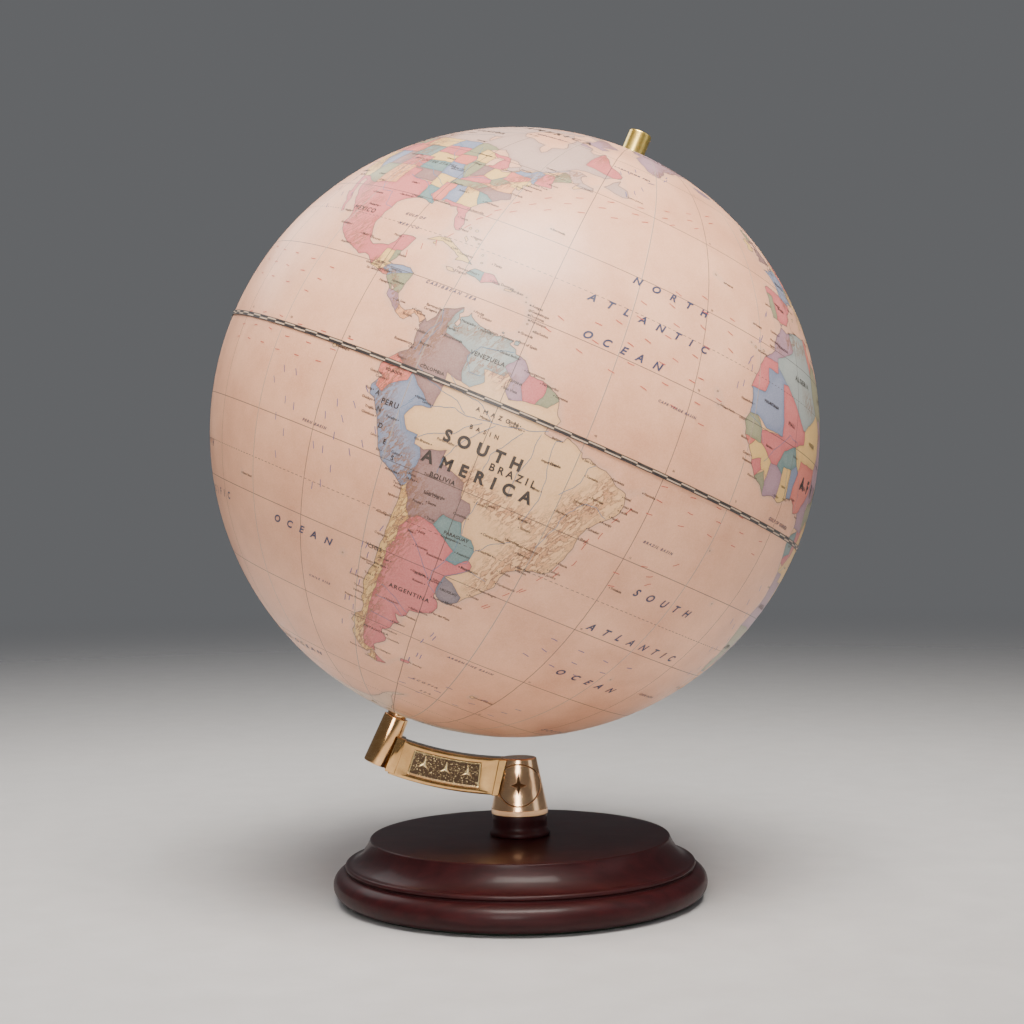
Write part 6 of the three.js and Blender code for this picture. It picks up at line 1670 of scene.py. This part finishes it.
def brass_post():
    """The tapering post, with a cut ring and a four-pointed star on its face."""
    chamfer = 0.6
    top = POST_HIGH.z - chamfer
    scale = 0.2                      # millimetres to one degree round the cone, near enough
    columns = 180
    spots, depths, links = [], [], []

    def spot(across, up, depth):
        height = RING_HEIGHT + up
        angle = math.degrees(math.asin(max(-1, min(1, across / cone_radius(height)))))
        spots.append(Vector((angle * scale, height)))
        depths.append(depth)

    for aside, depth in ((-RING_HALF, 0), (0, RING_DEPTH), (RING_HALF, 0)):
        radius = RING_RADIUS + aside
        first = len(spots)
        for number in range(120):
            angle = math.radians(number * 3)
            spot(radius * math.cos(angle), radius * math.sin(angle) * 0.95, depth)
        links += [(first + i, first + (i + 1) % 120) for i in range(120)]
    star_middle = first = len(spots)
    spot(0, 0, STAR_DEPTH)
    star = star_outline()
    for share, depth in ((1.0, 0), (0.86, 0.16)):
        for across, up in star:
            spot(across * share, up * share, depth)
    for i in range(8):
        links.append((first + 1 + i, first + 1 + (i + 1) % 8))
        links.append((first + 9 + i, first + 9 + (i + 1) % 8))
        links.append((first, first + 9 + i))
    engraved = [s.copy() for s in spots]
    near = kdtree.KDTree(len(engraved))
    for i, s in enumerate(engraved):
        near.insert((s.x, s.y, 0), i)
    near.balance()
    rows = np.linspace(CONE_BOTTOM, top, 15)
    for r, height in enumerate(rows):
        for i in range(columns + 1):
            place = Vector(((i * 360 / columns - 180) * scale, height))
            inner = 0 < r < len(rows) - 1
            middle = (place - Vector((0, RING_HEIGHT))).length < 7
            if inner and (near.find((place.x, place.y, 0))[2] < 0.45 or middle):
                continue
            spots.append(place)
            depths.append(0)
    flat, _, faces, origins, _, _ = geometry.delaunay_2d_cdt(spots, links, [], 0, 1e-5)
    points, lacquer = [], []
    for place, sources in zip(flat, origins):
        depth = max([depths[s] for s in sources], default=0)
        lacquer.append((1.0 if min(sources) < star_middle else 0.82) if depth > 0 else 0.0)
        angle = math.radians(place.x / scale) - math.pi / 2 - POST_FACE
        radius = cone_radius(place.y) - depth
        points.append((radius * math.cos(angle), radius * math.sin(angle), place.y))
    faces = [tuple(f) for f in faces]
    rings = [(CONE_LOW_RADIUS, CONE_BOTTOM), (CONE_LOW_RADIUS + 0.02, CONE_BOTTOM),
             (POST_HIGH.x, CONE_BOTTOM - 0.12), (POST_HIGH.x, POST_LOW.z + 0.25),
             (POST_HIGH.x - 0.25, POST_LOW.z), (BOLT_HOLE, POST_LOW.z), (BOLT_HOLE, POST_LOW.z + 15),
             (0, POST_LOW.z + 15)]
    rim = cone_radius(top)
    crown = [(rim, top), (rim - 0.25, top + 0.38), (rim - 0.65, POST_HIGH.z), (0, POST_HIGH.z)]
    for profile in (rings, crown):
        more, strips = turned(profile, columns)
        turn = Matrix.Rotation(-math.pi / 2 - POST_FACE, 3, "Z")
        first = len(points)
        points += [turn @ Vector(p) for p in more]
        lacquer += [0.0] * len(more)
        faces += [tuple(first + c for c in f) for f in strips]
    piece = new_piece("engraved_post", points, faces, "stand", "polished_brass", POST_BRASS)
    field(piece.data, "cut", lacquer)
    work = bmesh.new()
    work.from_mesh(piece.data)
    bmesh.ops.remove_doubles(work, verts=work.verts, dist=2e-6)
    bmesh.ops.recalc_face_normals(work, faces=work.faces)
    work.to_mesh(piece.data)
    work.free()
    smoothed(piece, 12)
    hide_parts("brass_post")


# ------------------------------------------------------------------ the arm
ARM_INNER, ARM_OUTER = 164.0, 182.3
ARM_HALF = 6.0
RECESS = 1.0
PANEL_FROM, PANEL_TO = 6.6, 18.5
PANEL_INSET = 2.6
FLANGE_HALF = mm_box("brass_arm")[1].y
FLANGE_BOTTOM = mm_box("brass_arm")[0].z
FLANGE_TOP = FLANGE_BOTTOM + 18
SCREW_LINE = -169.0


def on_arm(angle, radius, y):
    """A point of the arm: degrees from straight down towards -X, and distance from the ball's middle."""
    turn = math.radians(angle)
    return (-radius * math.sin(turn), y, CENTRE.z - radius * math.cos(turn))


def arm_loop(low, high, start, end, y, steps):
    """Points round a stretch of ring at one depth, the same number whatever its size."""
    angles = [start + (end - start) * i / steps for i in range(steps + 1)]
    sides = [low + (high - low) * i / 4 for i in range(1, 4)]
    return ([on_arm(a, low, y) for a in angles] + [on_arm(end, r, y) for r in sides]
            + [on_arm(a, high, y) for a in reversed(angles)]
            + [on_arm(start, r, y) for r in reversed(sides)])


def layered(loops):
    """A closed form from matching loops, with its two end loops filled."""
    count = len(loops[0])
    points = [p for loop in loops for p in loop]
    faces = [tuple(range(count)), tuple(reversed(range(count * (len(loops) - 1), count * len(loops))))]
    for row in range(len(loops) - 1):
        for i in range(count):
            j = (i + 1) % count
            faces.append((row * count + i, (row + 1) * count + i, (row + 1) * count + j, row * count + j))
    return points, faces


def arm_casting():
    """The arm's bar with its two recesses, the flange on the post and the flange on the tube."""
    steps = 40
    edge = 0.35

    def face(y, inset=0.0):
        return arm_loop(ARM_INNER + inset, ARM_OUTER - inset, 2.4 + inset / 3, 21.4 - inset / 3, y, steps)

    def recess(y, inset=0.0):
        return arm_loop(ARM_INNER + PANEL_INSET + inset, ARM_OUTER - PANEL_INSET - inset,
                        PANEL_FROM + inset / 3, PANEL_TO - inset / 3, y, steps)

    half = ARM_HALF
    side = [face(-half + edge), face(-half + 0.1, 0.1), face(-half, edge), recess(-half, -0.25),
            recess(-half + 0.08, -0.07), recess(-half + 0.25), recess(-half + RECESS)]
    other = [[(x, -y, z) for x, y, z in loop] for loop in side]
    bar = layered(list(reversed(side)) + other)
    piece = new_piece("arm_casting", *bar, "stand", "polished_brass", SHADE_DARKENED_ARM_BRASS)
    outwards(piece)

    thickness = 1.6
    cone_x = [-(cone_radius(h) + 0.1) for h in (FLANGE_BOTTOM, FLANGE_TOP)]

    def flange_loop(y, inset):
        low, high = FLANGE_BOTTOM + inset, FLANGE_TOP - inset
        return [(cone_x[0] - thickness + inset, y, low), (cone_x[0] + 4, y, low),
                (cone_x[1] + 4, y, high), (cone_x[1] - thickness + inset, y, high)]

    wide = FLANGE_HALF
    loops = [flange_loop(-wide, 0.3), flange_loop(-wide + 0.1, 0.1), flange_loop(-wide + 0.3, 0),
             flange_loop(wide - 0.3, 0), flange_loop(wide - 0.1, 0.1), flange_loop(wide, 0.3)]
    cut(piece, *layered(loops), operation="UNION")

    def tube_loop(y, inset):
        return arm_loop(ARM_INNER - 0.6 + inset, ARM_OUTER - 0.8 - inset, 20.4 + inset / 3, 22, y, 8)

    wide = ARM_HALF + 0.5
    loops = [tube_loop(-wide, 0.4), tube_loop(-wide + 0.12, 0.12), tube_loop(-wide + 0.4, 0),
             tube_loop(wide - 0.4, 0), tube_loop(wide - 0.12, 0.12), tube_loop(wide, 0.4)]
    cut(piece, *layered(loops), operation="UNION")

    gap = 0.3
    cutter = [(0, 30), (CONE_LOW_RADIUS + 0.1 + gap, 30), (CONE_LOW_RADIUS + 0.1 + gap, CONE_BOTTOM + gap),
              (CONE_TOP_RADIUS + gap, POST_HIGH.z + gap), (0, POST_HIGH.z + gap)]
    cut(piece, *turned(cutter, 128))
    points, faces = turned([(0, -181), (TUBE_LOW_RADIUS + gap, -181), (TUBE_TOP_RADIUS + gap, TUBE_TOP + gap),
                            (0, TUBE_TOP + gap)], 96)
    cut(piece, to_row(points), faces)
    smoothed(piece, 25)
    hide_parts("brass_arm")


def motif_height(across, up):
    """Height of one raised three-pointed leaf at a place measured from its middle, from 0 to 1."""
    best = 0.0
    for turn, length, width in ((90, 4.0, 1.15), (212, 3.1, 1.0), (328, 3.1, 1.0)):
        angle = math.radians(turn)
        along = across * math.cos(angle) + up * math.sin(angle)
        beside = abs(-across * math.sin(angle) + up * math.cos(angle))
        if 0 <= along <= length:
            half = width * (1 - along / length) ** 0.65
            best = max(best, 1 - beside / max(half, 1e-6))
    core = 1 - math.hypot(across, up) / 1.3
    return max(0.0, min(1.0, max(best, core) * 2.0))


def arm_panel(node, name, side):
    """A recessed panel with a pebbled ground, a raised border and three leaves."""
    low, high = ARM_INNER + PANEL_INSET + 0.2, ARM_OUTER - PANEL_INSET - 0.2
    start, end = PANEL_FROM + 0.07, PANEL_TO - 0.07
    middle = (low + high) / 2
    length = math.radians(end - start) * middle
    cell = 0.2
    cells_along = int(length / cell)
    cells_up = int((high - low) / cell)
    back = mm_box(node)[0 if side < 0 else 1].y
    floor = abs(back) - 0.28
    spots = [PANEL_FROM + (PANEL_TO - PANEL_FROM) * share for share in (0.19, 0.5, 0.81)]
    pebble_seed = 11.0 if side < 0 else 47.0
    pebble_size = 0.62
    points, grain = [], []
    for j in range(cells_up + 1):
        for i in range(cells_along + 1):
            angle = start + (end - start) * i / cells_along
            radius = low + (high - low) * j / cells_up
            x = math.radians(angle) * middle
            near, far = noise.voronoi(Vector((x, radius, pebble_seed)) / pebble_size)[0][:2]
            swell = 0.55 + 0.6 * noise.noise(Vector((x, radius, 5)) / 1.3)
            pebble = max(0.0, min(1.0, (far - near) * 2.2)) * swell
            leaf = max(motif_height((math.radians(angle - s) * middle), middle - 0.6 - radius) for s in spots)
            border = min(i, cells_along - i, j, cells_up - j) * cell
            rim = max(0.0, 1 - abs(border - 0.45) / 0.4)
            lip = max(0.0, 1 - (cells_up - j) * cell / 1.3)
            height = max(pebble * 0.24, leaf * 0.50 + 0.04 * pebble, rim * 0.34, lip * 0.55)
            if min(i, cells_along - i, j, cells_up - j) == 0:
                height = 0.0
            points.append(on_arm(angle, radius, side * (floor + height)))
            grain.append(max(pebble * 0.75, leaf * 1.3, rim, min(1.0, lip * 3)))
    row = cells_along + 1
    faces = []
    for j in range(cells_up):
        for i in range(cells_along):
            face = (j * row + i, j * row + i + 1, (j + 1) * row + i + 1, (j + 1) * row + i)
            faces.append(face if side > 0 else face[::-1])
    ring = ([(0, i) for i in range(row)] + [(j, row - 1) for j in range(1, cells_up + 1)]
            + [(cells_up, i) for i in range(row - 2, -1, -1)] + [(j, 0) for j in range(cells_up - 1, 0, -1)])
    edge = [j * row + i for j, i in ring]
    first = len(points)
    base_y = side * (abs(back) - 0.6)
    points += [(points[c][0], base_y, points[c][2]) for c in edge]
    grain += [0.4] * len(edge)
    count = len(edge)
    faces += [(edge[i], edge[(i + 1) % count], first + (i + 1) % count, first + i) for i in range(count)]
    faces.append(tuple(range(first, first + count)))
    piece = new_piece(name, points, faces, "stand", "textured_brass", PANEL_BRASS, sharp=70)
    outwards(piece)
    field(piece.data, "grain", grain)
    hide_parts(node)


# ------------------------------------------------------------------ the axle's fittings
TUBE_TOP = -154.6
TUBE_BOTTOM = -180.4
TUBE_TOP_RADIUS = 6.3
TUBE_LOW_RADIUS = 7.1


def axle_fittings():
    bore = 2.9
    profile = [
        (5.1, TUBE_BOTTOM), (TUBE_LOW_RADIUS - 0.55, TUBE_BOTTOM),
        (TUBE_LOW_RADIUS - 0.12, TUBE_BOTTOM + 0.15), (TUBE_LOW_RADIUS, TUBE_BOTTOM + 0.6),
        (TUBE_TOP_RADIUS, TUBE_TOP - 0.5),
        (TUBE_TOP_RADIUS - 0.12, TUBE_TOP - 0.12), (TUBE_TOP_RADIUS - 0.5, TUBE_TOP),
        (bore, TUBE_TOP), (bore, TUBE_BOTTOM + 4.2), (5.1, TUBE_BOTTOM + 4.2),
    ]
    points, faces = turned(profile, 128, closed=True)
    tube = new_piece("axle_tube", to_row(points), faces, "stand", "polished_brass", TUBE_BRASS)
    outwards(tube)
    side = Matrix.Rotation(math.radians(-90), 4, "X")
    points, faces = bar_points(1.5, 1.5, 9, sides=28, matrix=side)
    cut(tube, to_row([(p[0], p[1], p[2] + SCREW_LINE) for p in points]), faces)
    smoothed(tube, 30)
    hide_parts("south_tube")

    rim = mm_box("spacer_ring")[1].y
    profile = [(bore, -154.3), (rim - 0.3, -154.3), (rim - 0.08, -154.22), (rim, -154.0), (rim, -153.1),
               (rim - 0.08, -152.88), (rim - 0.3, -152.8), (bore, -152.8)]
    points, faces = turned(profile, 96, closed=True)
    ring = new_piece("brass_spacer", to_row(points), faces, "stand", "polished_brass", TUBE_BRASS, sharp=30)
    outwards(ring)
    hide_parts("spacer_ring")

    cap, low, high, edge = mm_box("north_cap")[1].y, 152.8, 166.5, 0.9
    crown = [(cap * share, high - 0.05 - 0.12 * share ** 2) for share in (0.75, 0.5, 0.25)]
    profile = [
        (bore, low), (cap - 0.35, low), (cap - 0.08, low + 0.1), (cap, low + 0.35), (cap, low + 1.5),
        (cap - 0.16, low + 1.62), (cap - 0.16, low + 1.78), (cap, low + 1.9),
        *arc(cap - edge, high - edge - 0.16, edge, edge, 0, 90, 8), *crown,
        (0, high - 0.04), (0, high - 7), (bore, high - 7),
    ]
    points, faces = turned(profile, 128)
    first = [(i, (i + 1) % 128) for i in range(128)]
    faces += [(len(points) - 128 + a, len(points) - 128 + b, b, a) for a, b in first]
    piece = new_piece("cap_nut", to_row(points), faces, "stand", "polished_brass", CAP_BRASS, sharp=30)
    outwards(piece)
    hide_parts("north_cap")


# ------------------------------------------------------------------ the pieces
random.seed(4)
printed_ball()
equator_tape()
wooden_base()
brass_post()
arm_casting()
arm_panel("front_arm_panel", "front_leaf_panel", -1)
arm_panel("rear_arm_panel", "rear_leaf_panel", 1)
axle_fittings()

for names, finish in (
    (("base_bolt", "lock_washer", "flat_washer", "locating_pin", "arm_stud", "tube_set_screw",
      "axle_rod"), STEEL),
    (("northern_hemisphere", "southern_hemisphere", "northern_pole_disc", "southern_pole_disc",
      "inner_joining_ring"), BOARD),
    (("northern_bush", "southern_bush"), NYLON),
    (("tube_end_plug",), TUBE_BRASS),
):
    for name in names:
        frame["nodes"][name].data.materials[0] = finish


# ------------------------------------------------------------------ floor, light and camera
def studio_paper():
    """Pale floor paper that thins out far from the object, so that no edge of it shows."""
    sheet = Sheet("studio_paper")
    grain = sheet.noise(40, 4, roughness=0.65)
    reach = sheet.node("VectorMath", {"operation": "LENGTH"}, {0: sheet.place()}, output="Value")
    return sheet.finish(
        Base_Color=sheet.ramp(grain, (0.32, (0.44, 0.43, 0.43)), (0.68, (0.48, 0.47, 0.47))),
        Roughness=0.5 + grain * 0.15, Normal=sheet.bump(grain, 0.0001, 0.6),
        Alpha=sheet.span(reach, 0.6, 2.6, 1.0, 0.0) ** 1.4)


def studio():
    half = 2.8
    mesh = bpy.data.meshes.new("studio_floor")
    corners = [(-half, -half, 0), (half, -half, 0), (half, half, 0), (-half, half, 0)]
    mesh.from_pydata(corners, [], [(0, 1, 2, 3)])
    mesh.materials.append(studio_paper())
    floor = bpy.data.objects.new("studio_floor", mesh)
    bpy.context.scene.collection.objects.link(floor)

    world = bpy.data.worlds.new("studio")
    bpy.context.scene.world = world
    world.use_nodes = True
    world.node_tree.nodes["Background"].inputs["Color"].default_value = (0.86, 0.88, 0.92, 1)
    world.node_tree.nodes["Background"].inputs["Strength"].default_value = 0.15

    def lamp(name, place, power, width, height, aim=(0, 0, 0.2), colour=(1, 1, 1), spread=180):
        light = bpy.data.lights.new(name, "AREA")
        light.shape = "RECTANGLE"
        light.size = width
        light.size_y = height
        light.energy = power
        light.color = colour
        light.spread = math.radians(spread)
        holder = bpy.data.objects.new(name, light)
        holder.location = place
        holder.rotation_euler = (Vector(aim) - Vector(place)).to_track_quat("-Z", "Y").to_euler()
        bpy.context.scene.collection.objects.link(holder)

    lamp("ceiling", (0.02, -0.70, 1.75), 18, 1.1, 0.9, (0, 0, 0.34), (1, 0.95, 0.88), 75)
    lamp("front", (-0.30, -1.50, 0.66), 1.7, 0.50, 0.80, (0, 0, 0.26), (1, 0.97, 0.93), 60)
    lamp("side", (1.5, -0.5, 0.8), 3, 0.7, 1.2)
    lamp("back", (-0.9, 1.1, 1.3), 8, 1.2, 0.8)


def camera():
    """The camera stands in front, a little to the left, level with the lower half of the ball."""
    turn = math.radians(3.53)
    distance = 0.915
    yaw, pitch, roll = (math.radians(a) for a in (-0.12, -0.27, -0.75))
    forward = Vector((math.sin(yaw) * math.cos(pitch), math.cos(yaw) * math.cos(pitch), math.sin(pitch)))
    right = Vector((math.cos(yaw), -math.sin(yaw), 0))
    up = right.cross(forward)
    across = right * math.cos(roll) + up * math.sin(roll)
    upright = up * math.cos(roll) - right * math.sin(roll)
    matrix = Matrix((across, upright, -forward)).transposed()
    matrix = Matrix.Rotation(-turn, 3, "Z") @ matrix
    lens = bpy.data.cameras.new("camera")
    lens.lens = 63.43
    lens.sensor_width = 36
    holder = bpy.data.objects.new("camera", lens)
    holder.matrix_world = matrix.to_4x4()
    holder.location = (-distance * math.sin(turn), -distance * math.cos(turn), 0.199)
    bpy.context.scene.collection.objects.link(holder)
    bpy.context.scene.camera = holder


studio()
camera()
